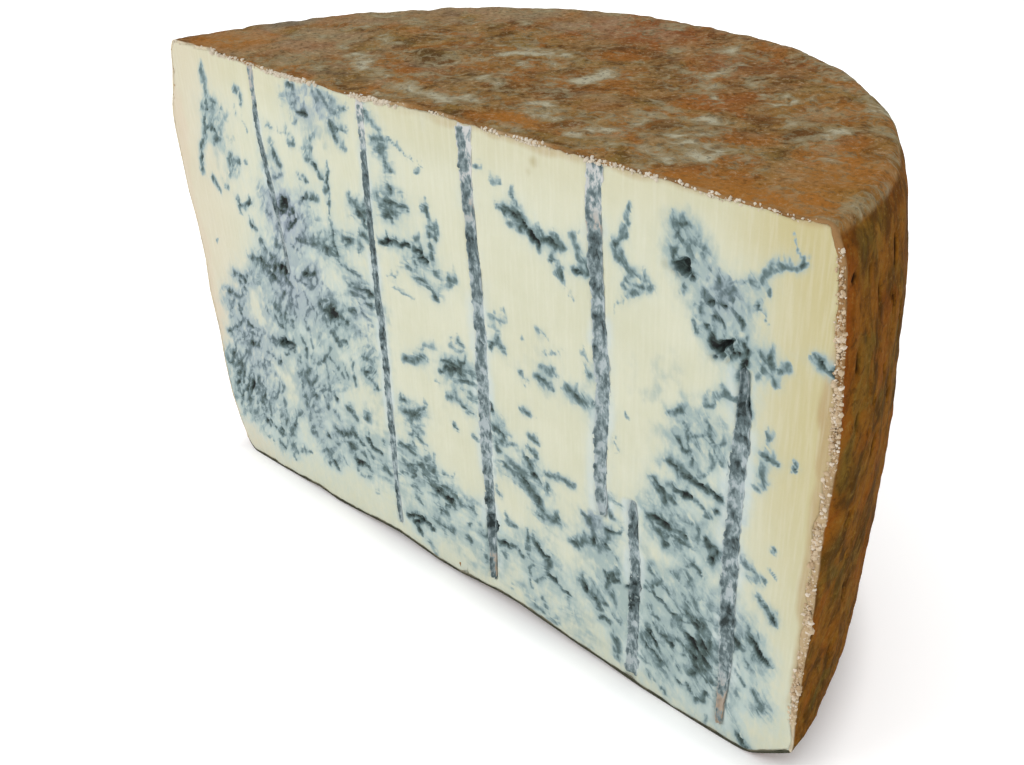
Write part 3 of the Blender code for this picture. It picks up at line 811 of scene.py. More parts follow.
    (1.8, .8, 33, 37, 33, 32, 34, 26), (1.4, .75, 34, 26, 34, 15),
    (2.6, 1.05, 36, 34, 38, 31.5, 40.5, 30.5), (2.6, .95, 42, 31, 41, 27, 40.5, 23),
    (1.7, 1.15, 40, 24, 44, 23.5, 47, 21.5, 49.5, 20.5), (1.6, .8, 40, 22, 37, 19),
    (1.8, .85, 38, 12, 39.5, 10), (1.8, .7, 35, 8, 38, 7), (2.6, .75, 41, 6, 45, 7),
    (1.4, .55, 25, 11, 26, 9.5), (1.6, .6, 49, 18, 50, 16),
    # lower right
    (2, .9, 48, 63, 52, 63), (1.6, .85, 56, 55, 57, 54), (1.4, .9, 65, 61, 66, 59.5),
    (2.2, .65, 66, 65, 69.5, 64), (2.6, .95, 58, 53.5, 60, 50, 59, 47), (1.4, 1, 65.5, 54, 69, 55, 71, 58),
    (2, 1, 66, 51.5, 63, 48, 66, 47), (2.8, 1.05, 51, 41.5, 53, 42, 56.5, 45),
    (1.5, .8, 68, 46, 68.5, 43.5), (2.4, .85, 68, 41, 66, 36, 65, 31, 68, 28.5), (3, 1, 56, 30, 57, 27.5),
    (2, 1, 59, 28, 61, 26.5, 63, 25.5, 65, 26), (2, 1, 62.5, 24, 63.5, 22.5),
    (1.7, 1.05, 63, 18, 65.5, 18.5), (1.6, .85, 67, 23.5, 69, 21), (3, .9, 68.5, 15, 69, 10, 69.5, 7),
    (1.5, 1, 79, 40.5, 83, 38.5, 87, 36.5, 93, 36), (1.4, .95, 81.5, 42, 83, 45.5),
    (2, .95, 80, 79, 82, 77, 83, 74, 83, 71), (1.6, .9, 84, 75.5, 87, 74.5), (1.9, 1.15, 86, 78, 92, 78.5),
    (1.4, .95, 94, 78, 96, 74.5, 99, 74.5, 100.5, 78), (1.4, .75, 88, 71, 93, 70),
    (3, 1.25, 79, 66, 82, 65.5, 84, 65.5), (2.1, 1.05, 80, 63, 85, 61.5, 86, 59.5, 85, 57.5),
    (1.7, 1.1, 86, 68, 89, 66, 93, 64), (1.4, .95, 86, 63, 90, 62.5, 93, 62), (1.6, .8, 95, 69, 96, 65),
    (1.4, .8, 66, 30, 69, 27), (1.4, .85, 79, 33, 82, 31, 85, 31), (1.4, .8, 62, 21, 65, 23),
    (1.4, .8, 69, 25, 71, 22), (1.4, .85, 84, 44, 87, 41), (1.4, .8, 80, 48, 83, 46),
    (1.5, .9, 64, 37, 67, 35, 70, 36), (2.8, 1.05, 98, 67, 101, 63.5, 100, 60),
    (1.5, .95, 93, 56, 96, 55.5, 97, 54), (2, .8, 91, 53, 93, 48, 95, 45, 96, 41),
    (1.8, .95, 97, 40, 98.5, 38, 96, 36), (2.1, .9, 96, 36, 98, 32, 98, 27, 97, 23, 96, 18),
    (1.6, .95, 101, 34, 101, 31), (1.6, 1.1, 82, 29, 86, 26, 88, 24), (2.2, 1.1, 80, 25, 83, 21.5),
    (1.6, .95, 90, 28, 93, 25.5, 92, 22), (1.7, 1.1, 80, 19, 83, 17, 85, 14), (1.6, .7, 77, 14, 81, 12),
    (1.8, 1.1, 90.5, 12.5, 92, 12), (1.4, 1.05, 94, 13.5, 96, 11), (1.8, .95, 97, 8, 99, 10, 100.5, 13.5),
    (1.8, .8, 86, 4.5, 87, 3.5), (1.8, .85, 81, 8.5, 82, 6), (2, .6, 101, 4, 101, 1.5),
    (1.6, .95, 109, 66, 113, 65, 115, 63), (1.3, .8, 111, 62.5, 113, 62), (1.8, .85, 117, 75, 118, 73.5),
    (1.7, 1, 115, 57.5, 117, 55), (2, 1, 118, 53.5, 120, 51), (1, .6, 117, 67, 119, 65),
    (1.8, 1, 112, 47, 113, 44.5, 114, 42), (2.2, 1.15, 114, 43, 116, 40, 119, 36),
    (2.6, 1, 108, 40, 110.5, 37.5, 107, 36), (2, .9, 112, 37, 112.5, 32), (1.6, .8, 110, 29, 112, 25),
    (2.6, .8, 116, 24.5, 118, 20.5, 116, 17.5), (1.4, .65, 110, 21, 111, 19), (2.6, 1, 113, 5, 116, 2.5),
    (2, .85, 91, 45, 93, 41), (1.8, .85, 87, 50, 90, 47), (1.8, .8, 88, 19, 91, 16),
]

# Broad zones of fine streaks: x, height, half length, half width in mm, tilt in degrees, strength
ZONES = [
    (-104, 141, 9, 10, 70, .55), (-98, 125, 6, 5, 60, .5), (-71, 114, 13, 10, -30, 1.15),
    (-77, 128, 9, 4, 90, .75), (-76, 103, 12, 7, 60, 1), (-84, 92, 13, 8, 10, 1), (-66, 94, 11, 6, 20, .75),
    (-56, 85, 14, 7, 10, .95), (-52, 110, 10, 8, 0, .7), (-47, 156, 12, 6, 20, .75),
    (-57, 154, 8, 6, 0, .5), (-112, 42, 22, 14, 60, 1.05), (-104, 26, 14, 9, 55, .85),
    (-112, 70, 11, 7, 40, .75), (-84, 75, 11, 10, 50, .95), (-77, 82, 12, 9, 40, .9),
    (-105, 60, 14, 6, 20, .65), (-92, 24, 12, 6, 60, .6), (-73, 45, 18, 7, 85, .85),
    (-64, 48, 12, 7, 60, .65), (-62, 72, 9, 7, 50, .45), (-66, 24, 9, 7, 20, .6), (-52, 33, 13, 7, 0, .75),
    (-94, 13, 9, 5, 20, .6), (-36, 95, 9, 8, 0, .85), (-32, 124, 8, 6, 60, .75), (-38, 76, 9, 8, 20, .7),
    (-37, 66, 7, 6, 20, .6), (-41, 114, 8, 5, 0, .6), (-17, 132, 8, 7, 0, .7), (-20, 150, 10, 5, -60, .6),
    (-4, 113, 11, 6, -10, .65), (7, 83, 10, 6, 0, .75), (-17, 58, 8, 6, 10, .7), (-10, 36, 22, 7, -5, .8),
    (-34, 30, 13, 8, 20, .75), (-5, 20, 8, 5, 0, .5), (33, 59, 12, 8, -10, .85), (41, 47, 7, 5, -20, .6),
    (39, 28, 8, 9, -60, .7), (24, 67, 6, 8, 0, .6), (88, 147, 7, 7, 0, .55), (98, 135, 10, 8, -70, .6),
    (96, 96, 9, 10, -80, .75), (92, 84, 11, 5, -10, .6), (88, 66, 12, 9, -10, .75),
    (98, 30, 24, 10, -80, 1.05), (84, 22, 14, 9, -50, .75), (60, 49, 8, 7, 50, .7), (62, 28, 9, 8, -40, .6),
    (112, 40, 12, 7, -50, .7), (116, 22, 8, 6, -60, .55), (96, 52, 10, 7, -60, .6),
    (92, 10, 14, 6, -20, .55), (55, 94, 6, 4, 0, .5), (110, 124, 6, 5, 0, .4), (-70, 84, 9, 8, 30, .8),
    (-69, 100, 6, 9, 0, .75), (-96, 84, 9, 7, 40, .6), (-58, 60, 8, 9, 40, .6), (38, 10, 12, 6, -10, .45),
    (14, 24, 7, 10, 60, .45), (8, 12, 12, 6, 20, .25), (54, 12, 14, 7, -40, .35),
]
print(len(STRANDS), "strands and", len(ZONES), "zones")

# %% Maps of the cut
MAP_STEP = 0.5
map_x = np.arange(-136, 136.1, MAP_STEP)
map_z = np.arange(-4, 170.1, MAP_STEP)
MX, MZ = np.meshgrid(map_x, map_z)


def read_map(field, x, z):
    """Value of a map at places in mm, blended from the four nearest cells."""
    column = np.clip((x - map_x[0]) / MAP_STEP, 0, len(map_x) - 1.001)
    row = np.clip((z - map_z[0]) / MAP_STEP, 0, len(map_z) - 1.001)
    i, j = row.astype(int), column.astype(int)
    p, q = row - i, column - j
    lower = field[i, j] * (1 - q) + field[i, j + 1] * q
    upper = field[i + 1, j] * (1 - q) + field[i + 1, j + 1] * q
    return lower * (1 - p) + upper * p


def soften(field, radius):
    """Blurs a map over a radius in mm with a bell curve, first along rows, then columns."""
    reach_cells = int(3 * radius / MAP_STEP)
    bell = np.exp(-0.5 * (np.arange(-reach_cells, reach_cells + 1) * MAP_STEP / radius) ** 2)
    bell /= bell.sum()
    for axis in (0, 1):
        field = np.apply_along_axis(np.convolve, axis, np.pad(field, [
            (reach_cells, reach_cells) if k == axis else (0, 0) for k in (0, 1)], mode="edge"), bell, "valid")
    return field


def plane_noise(size, seed, octaves=3, stretch=(1, 1)):
    """Rough noise over the map, with lumps of a size in mm."""
    return rough(np.stack([MX * stretch[0], MZ * stretch[1]], -1), size, seed, octaves)


# %% How the curd was pressed
# Steep to the right at the left, level in the middle and falling at the right, in degrees
pressed = np.interp(MX, [-130, -85, -55, -20, 40, 80, 130], [58, 52, 30, 8, -12, -45, -55])
pressed = pressed + 16 * plane_noise(34, 81, 2)
way_x, way_z = np.cos(np.radians(pressed)), np.sin(np.radians(pressed))


def streaks(size, length, seed):
    """Noise drawn out along the pressed curd. Formula: the mean of a fine noise over steps
    taken forwards and backwards along the way the curd was pressed."""
    grain = plane_noise(size, seed, 2)
    total = grain.copy()
    for sign in (-1, 1):
        x, z = MX.copy(), MZ.copy()
        for _ in range(int(length / 2)):
            dx, dz = read_map(way_x, x, z), read_map(way_z, x, z)
            x, z = x + sign * dx * 0.5 * size, z + sign * dz * 0.5 * size
            total += read_map(grain, x, z)
    return (total - total.mean()) / total.std()


def nearest_grains(x, z, size, seed, along_x=1.0, along_z=0.0, stretch=1.0):
    """Distances to the nearest and second nearest grain of a bed of grains. Formula: each cell
    of a lattice holds one grain at a random place, and distances along the given direction
    count for less by the stretch. Both come in shares of the size."""
    table = np.random.default_rng(seed).uniform(0, 1, (64, 64, 2))
    x, z = x / size, z / size
    column, row = np.floor(x).astype(int), np.floor(z).astype(int)
    first, second = np.full(x.shape, 9.0), np.full(x.shape, 9.0)
    for i in range(-2, 3):
        for j in range(-2, 3):
            place = table[(row + i) % 64, (column + j) % 64]
            dx, dz = column + j + place[..., 0] - x, row + i + place[..., 1] - z
            along = (dx * along_x + dz * along_z) / stretch
            away = np.hypot(along, dz * along_x - dx * along_z)
            second = np.minimum(second, np.maximum(first, away))
            first = np.minimum(first, away)
    return first, second


fine_streaks = streaks(1.1, 9, 91)
long_streaks = streaks(2.2, 10, 95)
streaky = 0.66 * fine_streaks + 0.5 * long_streaks + 0.35 * plane_noise(1.4, 99, 2)
streaky = streaky / streaky.std()
bent_x, bent_z = MX + 1.3 * plane_noise(5, 83, 3), MZ + 1.3 * plane_noise(5, 87, 3)
nearest, next_nearest = nearest_grains(bent_x, bent_z, 4.2, 89, way_x, way_z, 2.0)
seams = np.exp(-((next_nearest - nearest) / 0.17) ** 2)
print("seams between curd grains cover", round(float((seams > 0.5).mean()), 2), "of the cut")


# %% Strands and ovals on a map
def strand_field(strands, x, z, widen=1.0):
    """Height of drawn strands at places in mm. Formula: darkness times
    1 - distance / width for the nearest stretch of each strand, and the largest wins."""
    total = np.zeros_like(x)
    for width, darkness, *route in strands:
        ends = np.array(route, float).reshape(-1, 2)
        for (ax, az), (bx, bz) in zip(ends, ends[1:]):
            margin = width * widen
            near = abs(x - (ax + bx) / 2) < abs(bx - ax) / 2 + margin
            near &= abs(z - (az + bz) / 2) < abs(bz - az) / 2 + margin
            px, pz = x[near], z[near]
            length2 = max((bx - ax) ** 2 + (bz - az) ** 2, 1e-9)
            part = np.clip(((px - ax) * (bx - ax) + (pz - az) * (bz - az)) / length2, 0, 1)
            away2 = (px - ax - part * (bx - ax)) ** 2 + (pz - az - part * (bz - az)) ** 2
            total[near] = np.maximum(total[near], darkness * (1 - np.sqrt(away2) / margin))
    return total


def oval(x, z, middle_x, middle_z, half_length, half_width, tilt=0):
    """A soft oval, 1 in its middle. Formula: exp(-(p^2 + q^2)), where p and q are the distances
    along and across it in half lengths and half widths. The tilt is in degrees."""
    turn = np.radians(tilt)
    p = ((x - middle_x) * np.cos(turn) + (z - middle_z) * np.sin(turn)) / half_length
    q = ((z - middle_z) * np.cos(turn) - (x - middle_x) * np.sin(turn)) / half_width
    return np.exp(-p ** 2 - q ** 2)


def strongest(ovals, x=MX, z=MZ):
    """The strongest of many ovals at each place. The last number of an oval is its strength."""
    total = np.zeros_like(x)
    for *sizes, strength in ovals:
        total = np.maximum(total, strength * oval(x, z, *sizes))
    return total


# %% Growths
# Strands are drawn a little thinner, because noise widens them. The wire drags the mould down:
# each smear has a length in mm and a strength
STRAND_WIDTHS = 0.92
WIRE_SMEARS = ((1.6, 0.75), (3.2, 0.5))
warp_x = 0.8 * plane_noise(4, 101, 2) + 0.35 * plane_noise(1.3, 103, 2)
warp_z = 0.8 * plane_noise(4, 111, 2) + 0.35 * plane_noise(1.3, 113, 2)
drawn = strand_field(STRANDS, MX + warp_x, MZ + warp_z, STRAND_WIDTHS)
wire = np.clip(lattice_noise(np.stack([MX, MZ * 0.06], -1), 0.9, 121) + 0.15, 0, 1)
for length, share in WIRE_SMEARS:
    smeared = strand_field(STRANDS, MX + warp_x, MZ + warp_z - length * wire, STRAND_WIDTHS)
    drawn = np.maximum(drawn, share * smeared)
zones = 1.08 * strongest(ZONES) * np.clip(1 + 0.45 * plane_noise(7, 107, 2), 0.2, 1.4)
broken = np.clip(1.0 + 0.16 * streaky, 0.5, 1.3)
fine_growth = zones * (0.47 + 0.12 * seams + 0.20 * streaky) * (1 + 0.12 * smooth_step(-MX, 40, 60))
mould = np.clip(np.maximum(drawn * broken, fine_growth) + 0.12 * np.clip(drawn, 0, 1) * zones, 0, 1.4)
print("share of the cut under mould", round(float((mould > 0.45).mean()), 3))

# %% [markdown]
# ## Channels, pockets and the blue round them
# The needles went in from the top and from below, and the knife cut them open along their
# length. Where the mould grew thick, the curd sank and tore. Cutting rods out of the paste
# would do, but here each of them is a depth on the same map, so that mould and hollow agree.
# Round all of them the curd has a pale blue breath, with broad clouds where it is strongest.

# %% Needle channels
# Name: width in mm, then (x, height) down the channel in mm
CHANNELS = {
    "far_left": (2.6, ((-78.5, 170), (-79.6, 140), (-77, 120), (-75, 92))),
    "left": (2.8, ((-25.7, 170), (-27.2, 128), (-27.5, 75), (-28.8, 32), (-29.2, 8))),
    "middle": (4.6, ((16.5, 170), (15.9, 148), (17.8, 102), (17.2, 60), (17.5, 30), (16.8, 8))),
    "right": (4.8, ((60.2, 170), (60.1, 143), (62.9, 100), (62.2, 70), (62.8, 57))),
    "from_below": (4.0, ((73.4, 68), (75, 38), (74, -4))),
    "far_right": (4.6, ((105, 121), (105.6, 105), (105, 70), (106, 34), (105.1, 4))),
}
CHANNEL_DEPTH_SHARE = 0.3


def channel_middle(route, z):
    """x of a channel's middle at a height in mm, read along its route."""
    stops = np.array(route, float)[::-1]
    return np.interp(z, stops[:, 1], stops[:, 0])


groove = np.zeros_like(MX)
beside = np.zeros_like(MX)
for width, route in CHANNELS.values():
    away = abs(MX - channel_middle(route, MZ)) / (width / 2)
    from_ends = smooth_step(MZ, route[-1][1] - 1, route[-1][1] + 1.5)
    from_ends *= 1 - smooth_step(MZ, route[0][1] - 1.5, route[0][1] + 1)
    groove = np.maximum(groove, width * CHANNEL_DEPTH_SHARE * np.clip(1 - away ** 2, 0, 1) * from_ends)
    beside = np.maximum(beside, np.exp(-0.5 * ((away - 0.8) / 1.1) ** 2) * from_ends)
print("channels sink up to", round(float(groove.max()), 2), "mm")

# %% Pockets and fissures
# Name: x, height, half width, half height and depth in mm
POCKETS = {
    "left": (-83.5, 62, 4.5, 2.2, 3.5),
    "low": (-16.4, 14.5, 2.8, 2.4, 3.0),
    "in_middle_channel": (17.4, 29, 1.5, 5.5, 4.0),
    "in_low_channel": (74.8, 37, 1.5, 4.5, 3.5),
    "high_right": (87, 141, 2.2, 2.6, 2.5),
    "right": (99, 124.5, 3.0, 2.2, 3.0),
}
POCKET_FRAY = 1.6
pockets = np.zeros_like(MX)
frayed_x, frayed_z = MX + POCKET_FRAY * warp_x, MZ + POCKET_FRAY * warp_z
for x, z, half_width, half_height, depth in POCKETS.values():
    r2 = ((frayed_x - x) / half_width) ** 2 + ((frayed_z - z) / half_height) ** 2
    pockets = np.maximum(pockets, depth * np.sqrt(np.clip(1 - r2, 0, 1)))
# Pockets turn the mould darker with their depth, to black at the deepest: dark mould, with painted shade in
# the hollow
mould = np.maximum(mould, np.clip(pockets * 0.5, 0, 1.2))
fissures = 1.2 * smooth_step(mould, 0.85, 1.35)
depth_map = groove + pockets + fissures + 0.05 * plane_noise(1.2, 141, 2) + 0.12 * plane_noise(9, 143, 2)
print("deepest place of the cut", round(float(depth_map.max()), 1), "mm")

# %% Breath of blue
blue_growth = np.clip(mould, 0, 1)
wide_halo = soften(blue_growth, 4.5)
low_blue = 0.42 * (1 - smooth_step(MZ, 6, 58))
left_blue, right_blue = 0.30 * oval(MX, MZ, -65, 80, 38, 55), 0.25 * oval(MX, MZ, 92, 40, 20, 50)
beside = beside * (1 - 0.6 * smooth_step(MZ, 132, 158))
beside = beside * np.clip(0.8 + 0.5 * plane_noise(9, 149, 2), 0.2, 1.2)
breath = 0.55 * soften(blue_growth, 1.4) + 0.85 * wide_halo + 0.35 * beside
breath = breath + low_blue * np.clip(wide_halo * 4, 0.5, 1)
breath = np.clip(breath + left_blue + right_blue, 0, 1.2)
print("mean breath of blue", round(float(breath.mean()), 2))

# %% Clouds, lilac tint and stains
# Broad clouds of grey-blue: x, height, half length, half width in mm, tilt in degrees, strength
CLOUDS = [
    (-74, 116, 6, 7, 0, .7), (-70, 102, 9, 12, -60, .7), (-69, 84, 11, 13, 0, .6),
    (-82, 66, 20, 11, 20, .6), (-94, 72, 14, 16, 0, .6), (-44, 100, 4, 12, 0, .4),
    (-56, 66, 16, 12, -30, .6), (-27, 92, 4, 22, 0, .5), (-103, 60, 16, 22, 0, .6),
    (-72, 44, 22, 14, -30, .6), (-104, 128, 5, 14, 0, .3), (-48, 148, 10, 8, 0, .4),
    (-44, 36, 20, 14, -30, .5), (-20, 24, 20, 12, -30, .5), (-32, 40, 8, 20, 0, .5),
    (10, 18, 24, 12, -30, .5), (32, 26, 16, 14, -40, .4), (48, 16, 20, 12, -40, .4),
    (78, 34, 14, 26, 0, .6), (64, 48, 14, 18, -40, .5), (94, 36, 10, 24, -50, .5), (70, 14, 20, 12, 0, .4),
    (104, 70, 5, 34, 0, .5), (62, 92, 5, 26, 0, .4), (84, 104, 12, 14, 0, .4), (95, 134, 12, 9, -60, .5),
    (88, 147, 7, 7, 0, .5), (40, 96, 14, 14, 0, .25), (0, 78, 16, 12, -30, .25),
]
# Lilac tint in the mould: x, height, half length, half width in mm and strength
LILAC = (
    (-72, 114, 14, 16, .8), (-74, 88, 20, 18, .6), (-50, 155, 14, 9, .5), (-60, 95, 14, 12, .5),
    (-105, 60, 26, 44, .45), (-70, 40, 26, 30, .3), (-36, 90, 8, 16, .4), (60, 60, 6, 14, .5),
    (106, 60, 5, 50, .4), (98, 138, 8, 10, .4))
# Small brown stains: x, height, radius in mm and strength
STAINS = (
    (4, 145, 1.5, .25), (21, 141, 1.3, .3), (41, 157, 2.0, .7), (39, 154, 1.6, .5), (82, 141, 1.8, .7),
    (-62, 140, 1.8, .7), (-98, 79, 2.0, .5), (34, 121, 1.5, .3))
clouds = strongest(CLOUDS, MX + 2 * warp_x, MZ + 2 * warp_z)
gaps = np.clip(0.75 + 0.75 * plane_noise(4.5, 147, 3) + 0.25 * fine_streaks, 0.05, 1.5)
towards_sides = smooth_step(abs(MX - 12), 38, 76)
haze = (1.15 + 0.15 * towards_sides) * soften(blue_growth, 1.3)
haze = haze + (0.74 + 0.06 * towards_sides) * clouds * gaps
lilac = strongest(LILAC)
stains = strongest([(x, z, radius, radius, strength) for x, z, radius, strength in STAINS])
print("haze up to", round(float(haze.max()), 2), "and", len(CLOUDS), "clouds")

# %% [markdown]
# ## Paste
# The paste of a blue cheese is pressed curd: cream-white, moist, a little translucent, with
# the smear marks of the wire. Its mould is velvety and dull. The cut is one even net of small
# squares inside the rim, sunk where the maps say so, and a hidden back closes it. The maps are
# kept as numbers on the mesh, and fine noise makes their edges ragged. Painting an image would
# be quicker, but the numbers keep the same marbling at any size.

# %% Edges of the paste
CUT_COLUMNS, CUT_ROWS = 365, 227
UNDER_RIM = 0.12 * MM
PASTE_FULLNESS = 0.93
cut_loop = inner_outline - inwards * UNDER_RIM
diagonals = ((-1, 0, -1), (1, 0, -1), (1, 0, 1), (-1, 0, 1))
corners = [int(np.argmax(cut_loop @ np.array(way))) for way in diagonals]


def even_edge(first, last, count):
    """A stretch of the outline from one corner to the next, with evenly spaced points.
    Formula: points are read off the outline at equal steps of the distance travelled."""
    end = last if last > first else last + len(cut_loop)
    stretch = cut_loop[np.arange(first, end + 1) % len(cut_loop)]
    steps = np.linalg.norm(np.diff(stretch, axis=0), axis=1)
    travelled = np.concatenate([[0], np.cumsum(steps)])
    wanted = np.linspace(0, travelled[-1], count)
    return np.stack([np.interp(wanted, travelled, stretch[:, k]) for k in range(3)], -1)


bottom_edge = even_edge(corners[0], corners[1], CUT_COLUMNS)
right_edge = even_edge(corners[1], corners[2], CUT_ROWS)
top_edge = even_edge(corners[2], corners[3], CUT_COLUMNS)[::-1]
left_edge = even_edge(corners[3], corners[0], CUT_ROWS)[::-1]
cut_grid = coons_patch(bottom_edge, top_edge, left_edge, right_edge)
print("cut of", CUT_COLUMNS, "by", CUT_ROWS, "points, the corners at", corners)

# %% Build the paste
# Where the paste ends at the right, on top and at the left of the cut, in mm
PASTE_RIGHT, PASTE_TOP, PASTE_LEFT = 127.5, 161.5, -130
# The paste is seen to this depth, and its streaks lean fully at this many degrees
SHOWN_DEPTH = 6 * MM
FULL_LEAN = 60
border = np.ones(cut_grid.shape[:2])
border[0] = border[-1] = border[:, 0] = border[:, -1] = 0
sunk = read_map(depth_map, cut_grid[..., 0] / MM, cut_grid[..., 2] / MM) * border
cut_grid[..., 1] = CUT_Y + sunk * MM
half = (CUT_COLUMNS - 1) // 2
paste_right = np.concatenate([cut_grid[0, half:-1], cut_grid[:-1, -1], cut_grid[-1, half:][::-1]])
paste_left = np.concatenate([cut_grid[0, 1:half + 1][::-1], cut_grid[:-1, 0], cut_grid[-1, :half + 1]])
paste_back = sweep_back(paste_right, paste_left, INSIDE_STEPS, PASTE_FULLNESS)
paste_points, paste_faces = weld([(cut_grid, False), (paste_back.transpose(1, 0, 2), False)])
px, pz = paste_points[:, 0] / MM, paste_points[:, 2] / MM
shown = (paste_points[:, 1] < CUT_Y + SHOWN_DEPTH).astype(float)
edge_noise = rough(paste_points, 9 * MM, 145, 2)
from_right = PASTE_RIGHT - px + edge_noise
from_top = PASTE_TOP - pz + edge_noise
from_left = px - PASTE_LEFT
on_cut_only = {"mould": mould, "breath": breath, "haze": haze, "beside": beside}
paste = make_piece("cheese_paste", paste_points, paste_faces, {
    **{title: read_map(field, px, pz) * shown for title, field in on_cut_only.items()},
    "lilac": read_map(lilac, px, pz),
    "lean": read_map(pressed, px, pz) / FULL_LEAN,
    "stains": read_map(stains, px, pz),
    "ripe": np.clip((0.25 + 0.6 * smooth_step(pz, 20, 120)) * (1 - smooth_step(from_right, 2, 36))
                    + 0.35 * (1 - smooth_step(from_top, 0, 22)), 0, 1),
    "tan": np.clip((1 - smooth_step(from_right, 0.5, 4.5)) * smooth_step(pz, 12, 40)
                   + 0.75 * (1 - smooth_step(from_top, 0, 3.5)) * smooth_step(px, -60, 30), 0, 1),
    "dry": 1.0 - smooth_step(from_left + 2 * edge_noise, 0, 8) * 0.5 - smooth_step(from_left, 6, 60) * 0.5,
})

# %% Material of the paste
# Pressed curd, cut with a wire: a moist satin surface in cream that turns yellow near the rind,
# with dull velvety mould from pale blue through grey-green to black
cheese_paste, tree, shader = new_material("wire_cut_pressed_curd")
place = add_node(tree, COORDINATES, output=OBJECT_PLACE)
drawn_down = add_node(tree, MAPPING, {"Vector": place, "Scale": (1, 1, 0.06)})
half_drawn = add_node(tree, MAPPING, {"Vector": place, "Scale": (1, 1, 0.45)})
(mould_number, breath_number, haze_number, beside_number, lilac_number, lean_number, stain_number,
 ripe_number, tan_number, dry_number) = (
     add_node(tree, ATTRIBUTE, output=MESH_NUMBER, attribute_name=title) for title in (
         "mould", "breath", "haze", "beside", "lilac", "lean", "stains", "ripe", "tan", "dry"))
# Where each noise is read, the size of its lumps in mm, detail, roughness and distortion
ragged, speckle, cloudy, smear = (
    add_node(tree, NOISE, {"Vector": where, "Scale": per(size), "Detail": detail, "Roughness": roughness,
                           "Distortion": distortion})
    for where, size, detail, roughness, distortion in (
        (half_drawn, 1.8, 2, 0.5, 0.4), (place, 0.6, 2, 0.6, 0.0), (place, 14, 3, 0.5, 0.0),
        (drawn_down, 0.9, 2, 0.5, 0.0)))
# Fine streaks lie as the curd was pressed: three bundles, faded into each other by the lean
bundles = []
for degrees in (50, 0, -50):
    turned_place = add_node(tree, MAPPING, {"Vector": place, "Rotation": (0, np.radians(degrees), 0)})
    long_place = add_node(tree, MAPPING, {"Vector": turned_place, "Scale": (0.38, 1, 1)})
    bundles.append(add_node(tree, NOISE, {"Vector": long_place, "Scale": per(1.9), "Detail": 1,
                                          "Roughness": 0.5, "Distortion": 0.6}))
to_left = add_node(tree, LIMITS, {"Value": lean_number, "From Min": 0.2, "From Max": 0.6})
to_right = add_node(tree, LIMITS, {"Value": lean_number, "From Min": -0.2, "From Max": -0.6})
threads = add_node(tree, MIX, {0: to_left, 2: bundles[1], 3: bundles[0]})
threads = add_node(tree, MIX, {0: to_right, 2: threads, 3: bundles[2]})
grown = add_node(tree, LIMITS, {"Value": mould_number, "From Min": 0.02, "From Max": 0.35})
# Thin dark threads run where the noise passes its middle value
from_thread = add_node(tree, MATH, {0: threads, 1: -0.5}, operation="ADD")
from_thread = add_node(tree, MATH, {0: from_thread}, operation="ABSOLUTE")
thread = add_node(tree, LIMITS, {"Value": from_thread, "From Min": 0.0, "From Max": 0.10, "To Min": 0.10,
                                 "To Max": -0.05}, interpolation_type="SMOOTHSTEP")
# Each noise is spread round nought, over the given width
stroke, rag, grain = (
    add_node(tree, MATH, {0: noise, 1: width, 2: -width / 2}, operation="MULTIPLY_ADD")
    for noise, width in ((threads, 1.1), (ragged, 0.8), (speckle, 0.22)))
# Clear curd stays clear: the noise only works where mould grows
noisy = rag
for added in (grain, thread, stroke):
    noisy = add_node(tree, MATH, {0: noisy, 1: added}, operation="ADD")
growth = add_node(tree, MATH, {0: noisy, 1: grown, 2: mould_number}, operation="MULTIPLY_ADD")
uneven = 1.0
for noise, factor in ((rag, 2.0), (stroke, 0.9), (grain, 2.0)):
    uneven = add_node(tree, MATH, {0: noise, 1: factor, 2: uneven}, operation="MULTIPLY_ADD")
breathing, hazy = (add_node(tree, MATH, {0: number, 1: uneven}, operation="MULTIPLY")
                   for number in (breath_number, haze_number))

# %% Colours of the paste
# Each shade of mould is cooler on clean curd and tends to lilac where the lilac number is high
haze_blue, pale_blue, grey_blue, deep_blue = (
    cover(tree, cool, lilac_shade, lilac_number, 0.0, 1.0) for cool, lilac_shade in (
        ("8A9B98", "8D979F"), ("899A99", "8F98A1"), ("6D8082", "747F8A"), ("556767", "5B666F")))
skin_of_mould = coats(tree, "BFBFA8", (
    # Curd: cloudy cream, straw yellow near the rind, tan against it, greyer where it dried
    ("BABAA1", cloudy, 0.3, 0.7),
    ("B0A679", ripe_number, 0.0, 1.0),
    ("9E8559", tan_number, 0.25, 1.0, 0.75),
    ("BCAF97", dry_number, 0.0, 1.0),
    ("8F7F4A", stain_number, 0.15, 0.9, 0.6),
    ("D2D1C4", smear, 0.40, 0.75, 0.15),
    # The blue that spreads from the mould, and the pale edge of each channel
    ("A6B4AF", breathing, 0.0, 0.9),
    (haze_blue, hazy, 0.05, 0.75, 0.9),
    ("BAC3C1", beside_number, 0.3, 1.0, 0.5),
    # Mould: pale blue, grey-blue, slate, then dark green to black in the openings, where the black is dark
    # mould and painted shade together
    (pale_blue, growth, 0.12, 0.44),
    (grey_blue, growth, 0.34, 0.64),
    (deep_blue, growth, 0.54, 0.80),
    ("3F4F4C", growth, 0.76, 1.02),
    ("27322F", growth, 0.96, 1.22),
    ("101413", growth, 1.15, 1.4)))
print("paste of", len(tree.nodes), "nodes")

